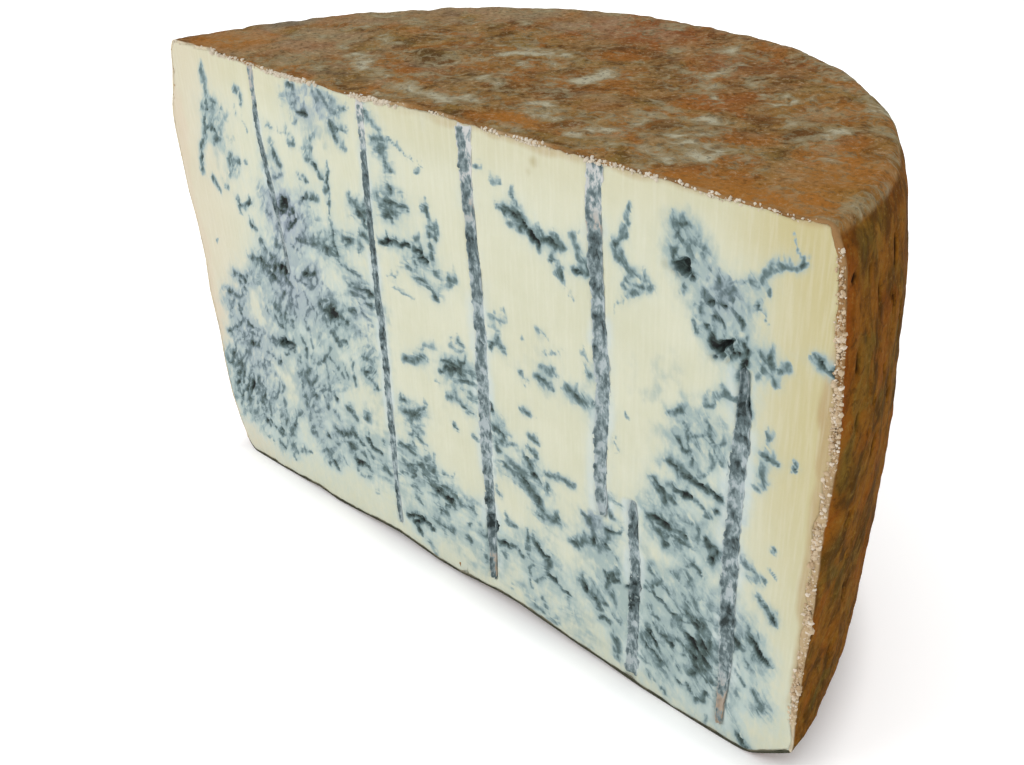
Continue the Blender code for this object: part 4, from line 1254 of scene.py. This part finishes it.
# %% Finish of the paste
dullness = add_node(tree, LIMITS, {"Value": growth, "From Min": 0.2, "From Max": 0.7, "To Min": 0.5,
                                   "To Max": 0.9})
unevenness = add_node(tree, MATH, {0: smear, 1: 0.8, 2: speckle}, operation="MULTIPLY_ADD")
bump = add_node(tree, BUMP, {"Height": unevenness, "Strength": 0.3, "Distance": 0.3 * MM})
fill_sockets(tree, shader, {
    "Base Color": skin_of_mould, "Roughness": dullness, "IOR": 1.45, "Normal": bump,
    "Subsurface Weight": 0.12, "Subsurface Radius": (1.0, 0.85, 0.6), "Subsurface Scale": 1.5 * MM})
paste.data.materials.append(cheese_paste)
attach(paste, "root")
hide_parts("blue_cheese_half_wheel")

# %% [markdown]
# ## Mould in the needle channels
# Each needle left a round channel, and the wire cut it open along its length. The mould in it
# stands as packed grey grains with darker gaps, a little below the cut. It could be painted on
# the groove, but the grains cast small shadows, so it is a strip of its own that fills the
# groove in part. Its front follows the grains, and its back is hidden in the paste.

# %% Looks along each channel
# Height in mm, share of the width, darkness, paleness and brownness, from the top down
CHANNEL_LOOKS = {
    "far_left": (
        (165, .9, .40, .5, .5), (152, .9, .55, .3, .4), (147, .9, .75, 0, .1), (130, 1, .7, 0, 0),
        (122, .9, .6, 0, 0), (116, .5, .5, 0, 0), (92, .25, .45, 0, 0)),
    "left": (
        (165, 1.1, .30, .9, 0), (150, 1, .45, .7, 0), (145, .85, .75, .1, 0), (125, 1, .85, 0, 0),
        (100, 1, .72, 0, 0), (70, 1, .74, 0, 0), (40, .9, .7, 0, 0), (32, .8, .7, 0, 0),
        (20, .65, .65, 0, 0), (8, .5, .55, 0, 0)),
    "middle": (
        (165, 1.1, .28, 1, 0), (150, 1, .38, .9, .1), (143, .9, .45, .5, .2), (139, .8, .65, .1, .6),
        (132, .8, .6, 0, .1), (105, .9, .5, 0, 0), (85, .9, .55, 0, 0), (62, 1.05, .4, .1, 0),
        (50, .95, .55, 0, 0), (43, .8, .9, 0, 0), (26, .75, .95, 0, 0), (22, .6, .6, .2, .2),
        (17, .5, .6, 0, .7), (8, .45, .7, 0, .9)),
    "right": (
        (165, 1, .28, .8, .1), (150, 1, .45, .6, .15), (145, .85, .45, .4, .6), (141, .8, .8, 0, .1),
        (136, .85, .65, 0, 0), (118, .8, .62, 0, 0), (108, 1, .5, .2, 0), (95, 1, .5, .1, 0),
        (80, .9, .55, 0, 0), (66, .75, .65, 0, 0), (57, .4, .6, 0, 0)),
    "from_below": (
        (68, .2, .3, 0, 0), (66, .5, .55, 0, 0), (63, .75, .8, 0, 0), (60, .7, .75, 0, 0),
        (50, .85, .7, .1, 0), (45, .85, 1, 0, 0), (38, .8, 1, 0, 0), (30, .85, 1, 0, 0),
        (26, .95, .6, .4, 0), (20, 1.2, .7, 0, .15), (8, 1.2, .6, 0, .2), (-4, 1.1, .5, 0, .2)),
    "far_right": (
        (121, .4, .9, 0, 0), (112, .45, .85, 0, 0), (107, .8, .78, 0, 0), (100, .95, .72, 0, 0),
        (70, .9, .72, 0, 0), (60, .95, .55, .3, 0), (54, .95, .6, .3, 0), (46, .9, .75, 0, 0),
        (34, .85, .7, 0, .1), (22, .6, .6, .1, .3), (16, .45, .45, .1, .7), (4, .3, .25, .3, .9)),
}
STRIP_STEP = 0.42
STRIP_DEPTH = 1.4
GRAIN_SIZE = 1.05
BEFORE_PASTE = 0.12


# %% Build the channel strips
def there_and_back(front, back):
    """Columns over the front of a strip and back behind it, with the first one again to close."""
    ring = np.concatenate([front, back[:, ::-1]], axis=1)
    return np.concatenate([ring, ring[:, :1]], axis=1)


def channel_strip(name, seed):
    """One closed strip of grains, as a grid of rings from the top down, with its numbers.
    Formula: across, the front lies at about half of the groove's depth, less the height of the
    grains and always a little before the paste, and the back lies behind the groove. The first
    and last ring close to a point."""
    width, route = CHANNELS[name]
    looks = np.array(CHANNEL_LOOKS[name])[::-1]
    high = min(route[0][1], top_height(route[0][0] * MM, 0) / MM - 0.3)
    low = max(route[-1][1], underside_height(abs(route[-1][0]) * MM) / MM + 0.4)
    z = np.linspace(high, low, int((high - low) / STRIP_STEP))[:, None]
    share, darkness, paleness, brownness = (np.interp(z, looks[:, 0], looks[:, k]) for k in range(1, 5))
    columns = int(width / STRIP_STEP) + 6
    u = np.linspace(-1, 1, columns)[None]
    sides = np.stack([z * np.ones_like(u), np.sign(u) * 50 + 0 * z], -1)
    wander = 0.8 * lattice_noise(sides, 4.5, seed) + 0.9 * lattice_noise(sides, 1.5, seed + 5)
    taper = np.sqrt(np.clip(np.minimum(high - z, z - low) / 1.5, 0, 1))
    half_width = width / 2 * 1.12 * share * (1 + 0.20 * wander) * (0.3 + 0.7 * taper)
    x = channel_middle(route, z) + u * half_width
    z = z + 0 * x
    bend = 0.35 * rough(np.stack([x, z], -1), 2.0, seed + 1, 2)
    first, second = nearest_grains(x + bend, z + bend, GRAIN_SIZE, seed + 2)
    grains = np.sqrt(np.clip(1 - (first / 0.75) ** 2, 0, 1))
    lumps = rough(np.stack([x, z], -1), 3.0, seed + 3, 2)
    groove_depth = CHANNEL_DEPTH_SHARE * width * np.clip(1 - u ** 2, 0, 1)
    front = 0.55 * groove_depth - 0.32 * grains - 0.15 * lumps + 0.16 + 0.5 * np.clip(abs(u) - 0.8, 0, 1)
    front += 1.2 * smooth_step(darkness, 0.8, 0.95) * (1 - u ** 2)
    ahead_of_paste = np.minimum(front, read_map(depth_map, x, z) - BEFORE_PASTE)
    front += (ahead_of_paste - front) * (1 - smooth_step(abs(u), 0.65, 1.0))
    patchy_edge = np.clip(0.7 + 0.8 * lattice_noise(sides, 4.0, seed + 6), 0, 1.3)
    edges = np.clip(abs(u + 0.15) - 0.35, 0, 1) * patchy_edge
    # The dark number is the mould's own darkness plus painted shade: darker in the gaps between grains and
    # towards the edges, most at the left, and lighter over the right half and at the very rim, as in a groove
    # lit from the left
    dark = darkness + 0.03 + 0.24 * (0.5 - grains) + 0.30 * edges + 0.26 * lumps
    dark -= 0.20 * np.clip(u, 0, 1) * (1 - edges) + 0.45 * smooth_step(abs(u), 0.8, 1.0)
    ring_y = there_and_back(front, front + STRIP_DEPTH)
    rings = np.stack([there_and_back(x, x) * MM, CUT_Y + ring_y * MM, there_and_back(z, z) * MM], -1)
    for end in (0, -1):
        rings[end] = rings[end, :-1].mean(axis=0)
    return rings, [there_and_back(values, values) for values in (dark, paleness + 0 * x, brownness + 0 * x)]


strips = [channel_strip(name, 200 + 10 * k) for k, name in enumerate(CHANNELS)]
strip_points, strip_faces, kept = weld([(rings, True) for rings, _ in strips], with_rows=True)
channel_mould = make_piece("needle_channel_mould", strip_points, strip_faces, {
    title: np.concatenate([numbers[k].ravel() for _, numbers in strips])[kept]
    for k, title in enumerate(("dark", "pale", "brown"))})

# %% Material of the channel mould
# Blue mould that ripened in the air of the channel: dry, velvety, lavender-grey grains
velvet_mould, tree, shader = new_material("dry_velvety_blue_mould")
place = add_node(tree, COORDINATES, output=OBJECT_PLACE)
dark_number, pale_number, brown_number = (
    add_node(tree, ATTRIBUTE, output=MESH_NUMBER, attribute_name=title)
    for title in ("dark", "pale", "brown"))
drawn_along = add_node(tree, MAPPING, {"Vector": place, "Scale": (1, 1, 0.5)})
fine = add_node(tree, NOISE, {"Vector": drawn_along, "Scale": per(1.3), "Detail": 3, "Roughness": 0.6})
# The gaps grow darker with the dark number, so they carry its painted shade too
gap = add_node(tree, MATH, {0: fine, 1: 2.2, 2: -1.1}, operation="MULTIPLY_ADD")
gap = add_node(tree, MATH, {0: gap, 1: dark_number}, operation="ADD")
grains_colour = coats(tree, "9EA8AA", (
    ("B9B9B6", pale_number, 0.1, 0.9),
    ("A38A70", brown_number, 0.1, 0.9, 0.8),
    ("7B898B", gap, 0.15, 0.50),
    ("536163", gap, 0.42, 0.85),
    ("2B3434", gap, 0.85, 1.3)))
bump = add_node(tree, BUMP, {"Height": fine, "Strength": 0.5, "Distance": 0.3 * MM})
fill_sockets(tree, shader, {"Base Color": grains_colour, "Roughness": 0.92, "Specular IOR Level": 0.3,
                            "Normal": bump})
channel_mould.data.materials.append(velvet_mould)
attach(channel_mould, "root")

# %% [markdown]
# ## Colours of the rind
# Yeasts and moulds colour a natural rind: rust and tan all over, red at the back of the top,
# slate at the left, with pale grey-green lines and rings where another mould has grown. The
# lines are drawn like the marbling. Each patch is a number on the mesh, and noise in the
# material frays it.

# %% Lines and patches on the top
# Width in mm, strength, then x and distance behind the cut of each point in mm
PALE_LINES = [
    (6.5, 1.2, 18, 46, 20, 56), (2.4, .9, -35, 12, -28, 29, -22, 43, -19, 54, -12, 66),
    (2.2, .8, -12, 66, -4, 57, -3, 54), (4.5, .9, -13, 62, -8, 66), (4.2, 1, -4, 34, -2, 38),
    (1.8, .8, -8, 41, -3, 32, 3, 29), (2.8, 1.1, -69, 30, -56, 26, -46, 20, -37, 16),
    (4, .8, -66, 46, -57, 44), (2, .8, 8, 43, 13, 46, 15, 39, 21, 36),
    (2.2, 1, 40, 46, 51, 43, 56, 38, 53, 29, 53, 20, 47, 13, 44, 10), (1.8, .8, 56, 38, 67, 41),
    (4.2, 1, 43, 66, 47, 63), (3.2, .8, 33, 99, 33, 103), (3.8, .7, 18, 76, 26, 73),
    (2.2, .9, 44, 86, 45, 76, 44, 70), (3.4, .8, 2, 15, 8, 13), (4.6, .9, 73, 18, 78, 15),
    (5, .8, 87, 48, 93, 43), (2.4, .9, 93, 48, 95, 52), (4.5, .8, 124, 30, 123, 12),
    (5.5, .8, 101, 82, 97, 72), (6.5, .7, 84, 92, 73, 101), (5, .7, 60, 112, 34, 119),
    (4.5, .7, 40, 121, 20, 122), (4, .5, 72, 84, 74, 80), (5.5, .8, -95, 73, -89, 67),
    (2, .7, -101, 18, -96, 10), (4, .5, -60, 82, -56, 78), (3, .6, 3, 108, 5, 110),
    (3.2, .6, -44, 88, -41, 84), (3, .6, -30, 60, -38, 56), (2.6, .7, -50, 36, -42, 40),
    (3, .6, -80, 52, -84, 46), (2.2, .7, -26, 22, -18, 26), (2, .7, -14, 14, -6, 20),
    (2.4, .6, 30, 12, 36, 20), (2.2, .7, 84, 30, 80, 24), (2.6, .6, 62, 56, 56, 52),
    (1.6, .9, 66, 22, 70, 30), (2.4, .6, 110, 44, 114, 52), (2, .7, -58, 12, -48, 8),
    (2, .7, -22, 6, -12, 5), (1.8, .8, 20, 4, 30, 6), (2.4, .6, 58, 8, 66, 12), (2.4, .5, -70, 64, -76, 70),
    (3.4, .9, -21, 15, -8, 11, 2, 9), (3.4, .9, -41, 20, -33, 22, -24, 23), (3, .8, 20, 15, 27, 19),
    (3.6, .7, 13, 40, 20, 50), (3, .5, -16, 92, -22, 98), (2.4, .6, 20, 88, 14, 94),
    (2.6, .5, 56, 76, 62, 70), (3, .5, 112, 60, 106, 66), (2, .6, 100, 20, 104, 14),
]
# Rings: x, distance behind the cut, radius, line width in mm and strength
PALE_RINGS = [
    (-4.5, 52, 4.6, 1.7, .9), (70, 65, 4.2, 1.6, .8), (25, 18, 5.4, 2, .9), (75, 17, 6.2, 2, .9),
    (108, 24, 4.6, 1.5, .5), (104, 36, 3, 1.5, .7), (90, 45, 6.5, 1.8, .7), (-52, 54, 4.5, 1.6, .5),
    (50, 56, 4.5, 1.5, .6), (-88, 30, 5, 1.6, .5),
]
print(len(PALE_LINES), "pale lines and", len(PALE_RINGS), "rings")

# %% Frayed bloom
LINE_WIDTHS = 1.5
sx, sy, sz = (skin_points / MM).T
sy = sy - CUT_Y / MM
fray_x, fray_y = (1.6 * rough(skin_points, 7 * MM, seed, 3) for seed in (151, 161))
pale = strand_field(PALE_LINES, sx + fray_x, sy + fray_y, LINE_WIDTHS)
for x, y, radius_mm, width, strength in PALE_RINGS:
    off = abs(np.hypot(sx + 0.6 * fray_x - x, sy + 0.6 * fray_y - y) - radius_mm) / width
    pale = np.maximum(pale, strength * np.clip(1 - off ** 2, 0, 1))
patchy = rough(skin_points, 8 * MM, 171, 4)
turned = np.degrees(np.arctan2(sy, sx))
rim_band = 0.45 * smooth_step(np.hypot(sx, sy), 110, 126) * smooth_step(turned, 4, 40)
rim_band = rim_band * (1 - smooth_step(turned, 110, 150))
veiny = 1 - smooth_step(abs(rough(skin_points, 13 * MM, 175, 3)), 0.02, 0.16)
pale = 0.76 * pale * (0.85 + 0.6 * patchy) + 0.26 * patchy + rim_band + 0.20 * veiny
pale = pale * (1 - 0.5 * oval(sx, sy, 108, 28, 18, 24))
print("share of the outside under pale bloom", round(float((pale > 0.4).mean()), 2))

# %% Patches of colour
# Each: x, distance behind the cut, half sizes in mm and strength
RED_PATCHES = ((0, 98, 60, 24, .9), (60, 50, 28, 9, .7), (-82, 72, 14, 12, .4), (36, 30, 10, 14, .6))
ORANGE_PATCHES = (
    (-104, 12, 18, 16, 1.1), (98, 2, 24, 7, 1.2), (26, 9, 14, 7, .9), (110, 26, 16, 24, .8),
    (-20, 42, 9, 8, .7), (-66, 56, 8, 8, .6), (84, 66, 24, 22, .5))
DARK_PATCHES = (
    (-37, 38, 16, 9, .9), (12, 82, 12, 7, .7), (20, 33, 8, 6, .8), (90, 44, 5, 4, .8), (5, 26, 9, 5, .7),
    (62, 86, 16, 8, .5))
GREY_PATCHES = ((-60, 104, 60, 26, .8), (-96, 60, 26, 40, .8), (40, 116, 50, 14, .4), (-60, 20, 50, 30, .4))


def patches(places):
    """The sum of soft ovals on the top. The last number of each is its strength."""
    return sum(strength * oval(sx, sy, *sizes) for *sizes, strength in places)


red = patches(RED_PATCHES) + 0.28 * rough(skin_points, 20 * MM, 181, 3)
near_cut = np.exp(-sy / 6) * (sx > 0) * (1 - on_top) * smooth_step(sz, 60, 110)
orange = patches(ORANGE_PATCHES) + 0.6 * near_cut * (1 + 0.7 * rough(skin_points, 12 * MM, 185, 2))
dark_spots = patches(DARK_PATCHES) + 0.35 * rough(skin_points, 11 * MM, 191, 3)
slate = oval(sx, sy, -114, 40, 12, 14)
grey = np.clip(patches(GREY_PATCHES) + 0.35 * rough(skin_points, 9 * MM, 195, 3), 0, 1)

# %% Colours of the cut rim
# Stretches of the top edge with crumbs: from x to x in mm, and strength
TOP_CRUMBS = (
    (-75, -45, 1.0), (-30, -5, .9), (5, 12, .9), (25, 46, .9), (58, 100, .35), (100, 126, .2),
    (-100, -75, .35))
# The outline from this x on is the right side of the cut
RIGHT_SIDE_FROM = 118 * MM
edge_x, edge_z = outline[:, 0], outline[:, 2]
crumbly_top = np.zeros(len(outline))
for start, end, strength in TOP_CRUMBS:
    mid, half_stretch = (start + end) / 2, (end - start) / 2
    reached = 1 - smooth_step(abs(edge_x / MM - mid), half_stretch - 2, half_stretch + 2)
    crumbly_top = np.maximum(crumbly_top, strength * reached)
frayed_height = edge_z + 5 * rough(outline, 9 * MM, 305, 2) * MM
right_pale = 1 - 0.75 * smooth_step(frayed_height, 96 * MM, 124 * MM)
top_pale = np.where(edge_z > 140 * MM, 0.7 * crumbly_top, 0)
rim_pale = np.where(edge_x > RIGHT_SIDE_FROM, right_pale, top_pale)
rim_paste = np.where(edge_x < -100 * MM, 1.0, 1 - smooth_step(edge_z, 12 * MM, 30 * MM))
# Along the lower edge of the cut the rim is dark olive: partly the damp rind of the underside, partly painted
# contact shadow
rim_foot_shade = smooth_step(inwards[:, 2], 0.3, 0.65)
print("mean paleness of the rim", round(float(rim_pale.mean()), 2))

# %% Build the rind
FOOT_SHADE_FADE = 0.55


def rind_numbers(on_skin, on_rim=0.0):
    """One number for every point of the rind: the skin's, then the rim's, then 0 inside."""
    rim_rows = np.broadcast_to(on_rim, rim.shape[:2])
    return np.concatenate([on_skin, rim_rows.ravel(), np.zeros(inside[..., 0].size)])[kept_of_rind]


def edge_numbers(values, inner_share=1.0):
    """Numbers along the cut edge, kept on every row of the rim and 0 elsewhere on the skin.
    Formula: on the rim the value goes evenly to the inner share of itself."""
    on_skin = np.zeros(len(skin_points))
    on_skin[outline_rows] = values
    fade = np.linspace(1, inner_share, RIM_ROWS)[:, None]
    return rind_numbers(on_skin, np.append(values, values[0]) * fade)


on_skin_only = {"on_top": on_top, "pale": pale, "red": red, "orange": orange, "dark": dark_spots,
                "slate": slate, "grey": grey, "dents": dents / MM}
rind = make_piece("cheese_rind", rind_points, rind_faces, {
    "skin": rind_numbers(np.where(on_cut, 0.35, 1.0)),
    "pale_rim": edge_numbers(rim_pale),
    "paste_rim": edge_numbers(rim_paste),
    "foot_rim_shade": edge_numbers(rim_foot_shade, FOOT_SHADE_FADE),
    **{title: rind_numbers(values) for title, values in on_skin_only.items()},
})

# %% Material of the rind
# Natural rind, brushed while it ripened: dry, sandy and dull, rust-brown with pale mould
natural_rind, tree, shader = new_material("brushed_natural_rind")
place = add_node(tree, COORDINATES, output=OBJECT_PLACE)
upright_place = add_node(tree, MAPPING, {"Vector": place, "Rotation": (0.25, 0.25, 0), "Scale": (1, 1, 0.6)})
shifted_place = add_node(tree, MAPPING, {"Vector": place, "Location": (0.31, 0.17, 0.23)})
(skin_number, pale_rim_number, paste_rim_number, foot_rim_shade_number, top_number, pale_number, red_number,
 orange_number, dark_number, slate_number, grey_number, dent_shade_number) = (
     add_node(tree, ATTRIBUTE, output=MESH_NUMBER, attribute_name=title) for title in (
         "skin", "pale_rim", "paste_rim", "foot_rim_shade", "on_top", "pale", "red", "orange", "dark", "slate",
         "grey", "dents"))
# Where each noise is read, the size of its lumps in mm, detail, roughness and distortion
sand, spots, blots, tints, fibres, broad = (
    add_node(tree, NOISE, {"Vector": where, "Scale": per(size), "Detail": detail, "Roughness": roughness,
                           "Distortion": distortion})
    for where, size, detail, roughness, distortion in (
        (place, 1.6, 4, 0.7, 0.0), (place, 3.2, 4, 0.62, 0.8), (place, 9, 4, 0.62, 1.0),
        (shifted_place, 17, 3, 0.55, 0.9), (upright_place, 3.6, 4, 0.65, 0.6),
        (upright_place, 11, 3, 0.6, 0.8)))
# Thin folds and cracks run where a noise passes one value
from_fold, from_crack = (
    add_node(tree, MATH, {0: add_node(tree, MATH, {0: noise, 1: -passed}, operation="ADD")},
             operation="ABSOLUTE") for noise, passed in ((tints, 0.5), (spots, 0.46)))
shadowy = add_node(tree, MATH, {0: spots, 1: 1.6, 2: dark_number}, operation="MULTIPLY_ADD")
fray = add_node(tree, MATH, {0: spots, 1: -2.2, 2: 1.1}, operation="MULTIPLY_ADD")
fray = add_node(tree, MATH, {0: sand, 1: 1.6, 2: fray}, operation="MULTIPLY_ADD")
fray = add_node(tree, MATH, {0: fray, 1: -0.80}, operation="ADD")
bloom = add_node(tree, MATH, {0: pale_number, 1: fray}, operation="ADD")

# %% Colours of the top, the side and the rim
crust = coats(tree, "553A1B", (
    # Brown crust in blots, with rust and olive tints
    ("7E5F33", blots, 0.37, 0.53),
    ("8E734B", blots, 0.52, 0.68, 0.9),
    ("8A5826", tints, 0.42, 0.68, 0.85),
    ("73602F", tints, 0.48, 0.32, 0.55),
    ("844C29", red_number, 0.0, 1.1, 0.8),
    ("9A6224", orange_number, 0.2, 1.0, 0.8),
    ("4B331A", from_crack, 0.05, 0.0, 0.25),
    ("46311A", shadowy, 0.95, 1.55, 0.7),
    # Grey moulds, thin folds, the pale bloom of the lines and slate at the left
    ("91826A", grey_number, 0.1, 1.0, 0.5),
    ("93805A", from_fold, 0.04, 0.0, 0.25),
    ("877C5F", bloom, 0.05, 0.50, 0.75),
    ("A5A18B", bloom, 0.45, 1.25, 0.85),
    ("68645C", slate_number, 0.2, 1.0, 0.6),
    # Sandy grain, dark and light, which is worn off where the crust is orange
    ("38250F", sand, 0.51, 0.66, 0.55),
    ("AC9C7E", sand, 0.46, 0.32, 0.40),
    ("8B5F2E", orange_number, 0.35, 1.0, 0.45)))
# The side is darker and more saturated than the top: partly the rind's own colour, partly painted shade of
# the side that is turned from the light
side = coats(tree, "754B15", (
    ("48300D", broad, 0.38, 0.63),
    ("3B260B", fibres, 0.50, 0.70, 0.45),
    ("7A5C24", fibres, 0.47, 0.32, 0.5),
    ("7A430F", tints, 0.52, 0.66, 0.5),
    ("5C5122", tints, 0.46, 0.34, 0.4),
    ("87430E", orange_number, 0.2, 1.1, 0.7),
    ("38230C", spots, 0.54, 0.66, 0.45),
    ("3E260C", sand, 0.52, 0.66, 0.4),
    ("8C7038", sand, 0.44, 0.32, 0.3)))
# The top takes the crust's colours, and the dents are darkened by their depth nearly to black: painted shade
# in the hollows
outside = coats(tree, side, ((crust, top_number, 0.3, 0.9), ("120A05", dent_shade_number, 0.12, 0.8, 0.95)))
rind_colour = coats(tree, "86623A", (
    ("AB9574", pale_rim_number, 0.0, 1.0),
    ("8E7452", spots, 0.50, 0.64, 0.6),
    ("C3B79E", paste_rim_number, 0.0, 1.0),
    # Dark olive at the foot: underside rind and painted contact shadow
    ("2F3328", foot_rim_shade_number, 0.1, 0.8, 0.95),
    (outside, skin_number, 0.35, 0.95)))
print("rind of", len(tree.nodes), "nodes")

# %% Finish of the rind
lumpy = add_node(tree, MATH, {0: spots, 1: 2.2, 2: sand}, operation="MULTIPLY_ADD")
bump = add_node(tree, BUMP, {"Height": lumpy, "Strength": 0.55, "Distance": 0.7 * MM})
fill_sockets(tree, shader, {"Base Color": rind_colour, "Roughness": 0.8, "IOR": 1.45,
                            "Specular IOR Level": 0.02, "Normal": bump})
rind.data.materials.append(natural_rind)
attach(rind, "root")

# %% [markdown]
# ## Crumbs along the cut
# The knife tears the dry rind, and its crumbs stay on the edge: thick along the right side and
# in stretches along the top. Bump alone would leave the edge smooth against the light. Each
# crumb is a small lump of twenty triangles, stretched and turned at random.

# %% Place the crumbs
CRUMBS_AT_RIGHT = 17.0
CRUMBS_ON_TOP = 6.5
STRAY_CRUMBS = 0.3
SMALLEST_CRUMB, LARGEST_CRUMB = 0.12, 0.75
dice = np.random.default_rng(301)
to_next = np.roll(outline, -1, axis=0) - outline
steps = np.linalg.norm(to_next, axis=1) / MM
right_side = (edge_x > RIGHT_SIDE_FROM) & (edge_z > 20 * MM) & (edge_z < 157 * MM)
on_top_edge = np.where(edge_z > 145 * MM, STRAY_CRUMBS + CRUMBS_ON_TOP * crumbly_top, 0.0)
per_mm = np.where(right_side, CRUMBS_AT_RIGHT, on_top_edge)
clumpy = np.clip(1.1 + 1.3 * rough(outline, 8 * MM, 303, 2), 0.35, 3.0)
rows = np.repeat(np.arange(len(outline)), dice.poisson(per_mm * clumpy * steps))
crumb_count = len(rows)
depth_in = np.where(right_side[rows], 2.4, 1.3) * dice.beta(1.2, 1.4, crumb_count)
place_on_edge = outline[rows] + to_next[rows] * dice.uniform(0, 1, (crumb_count, 1))
crumb_middle = place_on_edge + inwards[rows] * depth_in[:, None] * MM
crumb_size = np.clip(dice.lognormal(-1.35, 0.5, crumb_count), SMALLEST_CRUMB, LARGEST_CRUMB) * MM
crumb_middle[:, 1] = CUT_Y - dice.uniform(-0.25, 0.06, crumb_count) * MM
print(crumb_count, "crumbs of", round(crumb_size.mean() / MM, 2), "mm on average")

# %% Build the crumbs
# A lump of twenty faces: three golden rectangles hold its corners, and neighbours are 2 apart
golden = (1 + 5 ** 0.5) / 2
lump = np.array([(0, a, b * golden) for a in (-1, 1) for b in (-1, 1)])
lump = np.concatenate([lump, np.roll(lump, 1, axis=1), np.roll(lump, 2, axis=1)])
near = np.linalg.norm(lump[:, None] - lump[None], axis=-1) < 2.1
triples = [(i, j, k) for i in range(12) for j in range(i + 1, 12) for k in range(j + 1, 12)
           if near[i, j] and near[j, k] and near[i, k]]
lump_faces = np.array([t if np.linalg.det(lump[list(t)]) > 0 else t[::-1] for t in triples])
lump /= np.linalg.norm(lump[0])
turn = dice.normal(0, 1, (crumb_count, 4))
turn /= np.linalg.norm(turn, axis=1, keepdims=True)
w, i, j, k = turn.T
turning = np.array([[1 - 2 * (j * j + k * k), 2 * (i * j - k * w), 2 * (i * k + j * w)],
                    [2 * (i * j + k * w), 1 - 2 * (i * i + k * k), 2 * (j * k - i * w)],
                    [2 * (i * k - j * w), 2 * (j * k + i * w), 1 - 2 * (i * i + j * j)]]).transpose(2, 0, 1)
bulges = dice.uniform(0.7, 1.3, (crumb_count, 12, 1))
stretches = dice.uniform(0.6, 1.3, (crumb_count, 1, 3))
turned_lumps = np.einsum("nij,npj->npi", turning, lump[None] * bulges * stretches)
crumb_points = crumb_middle[:, None] + turned_lumps * crumb_size[:, None, None]
crumb_faces = lump_faces[None] + 12 * np.arange(crumb_count)[:, None, None]
crumbs = make_piece("rind_crumbs", crumb_points.reshape(-1, 3), crumb_faces.reshape(-1, 3), {
    "shade": np.repeat(dice.uniform(0, 1, crumb_count), 12),
    "high": np.repeat(smooth_step(crumb_middle[:, 2], 150 * MM, 158 * MM), 12),
})

# %% Material of the crumbs
# Torn dry rind: chalky, pale pink to grey, with a few tan crumbs
dry_crumbs, tree, shader = new_material("chalky_rind_crumbs")
place = add_node(tree, COORDINATES, output=OBJECT_PLACE)
shade_number, high_number = (add_node(tree, ATTRIBUTE, output=MESH_NUMBER, attribute_name=title)
                             for title in ("shade", "high"))
dust = add_node(tree, NOISE, {"Vector": place, "Scale": per(0.8), "Detail": 2})
crumb_colour = coats(tree, "B29B7D", (
    ("BBA88C", shade_number, 0.2, 0.6),
    ("CDC1B0", shade_number, 0.65, 0.95),
    ("9C8260", shade_number, 0.0, 0.25, 0.0, 0.7),
    ("C6C0B2", high_number, 0.3, 1.0, 0.6),
    ("A8967F", dust, 0.45, 0.75, 0.4)))
fill_sockets(tree, shader, {"Base Color": crumb_colour, "Roughness": 0.9, "Specular IOR Level": 0.3})
crumbs.data.materials.append(dry_crumbs)
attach(crumbs, "root")
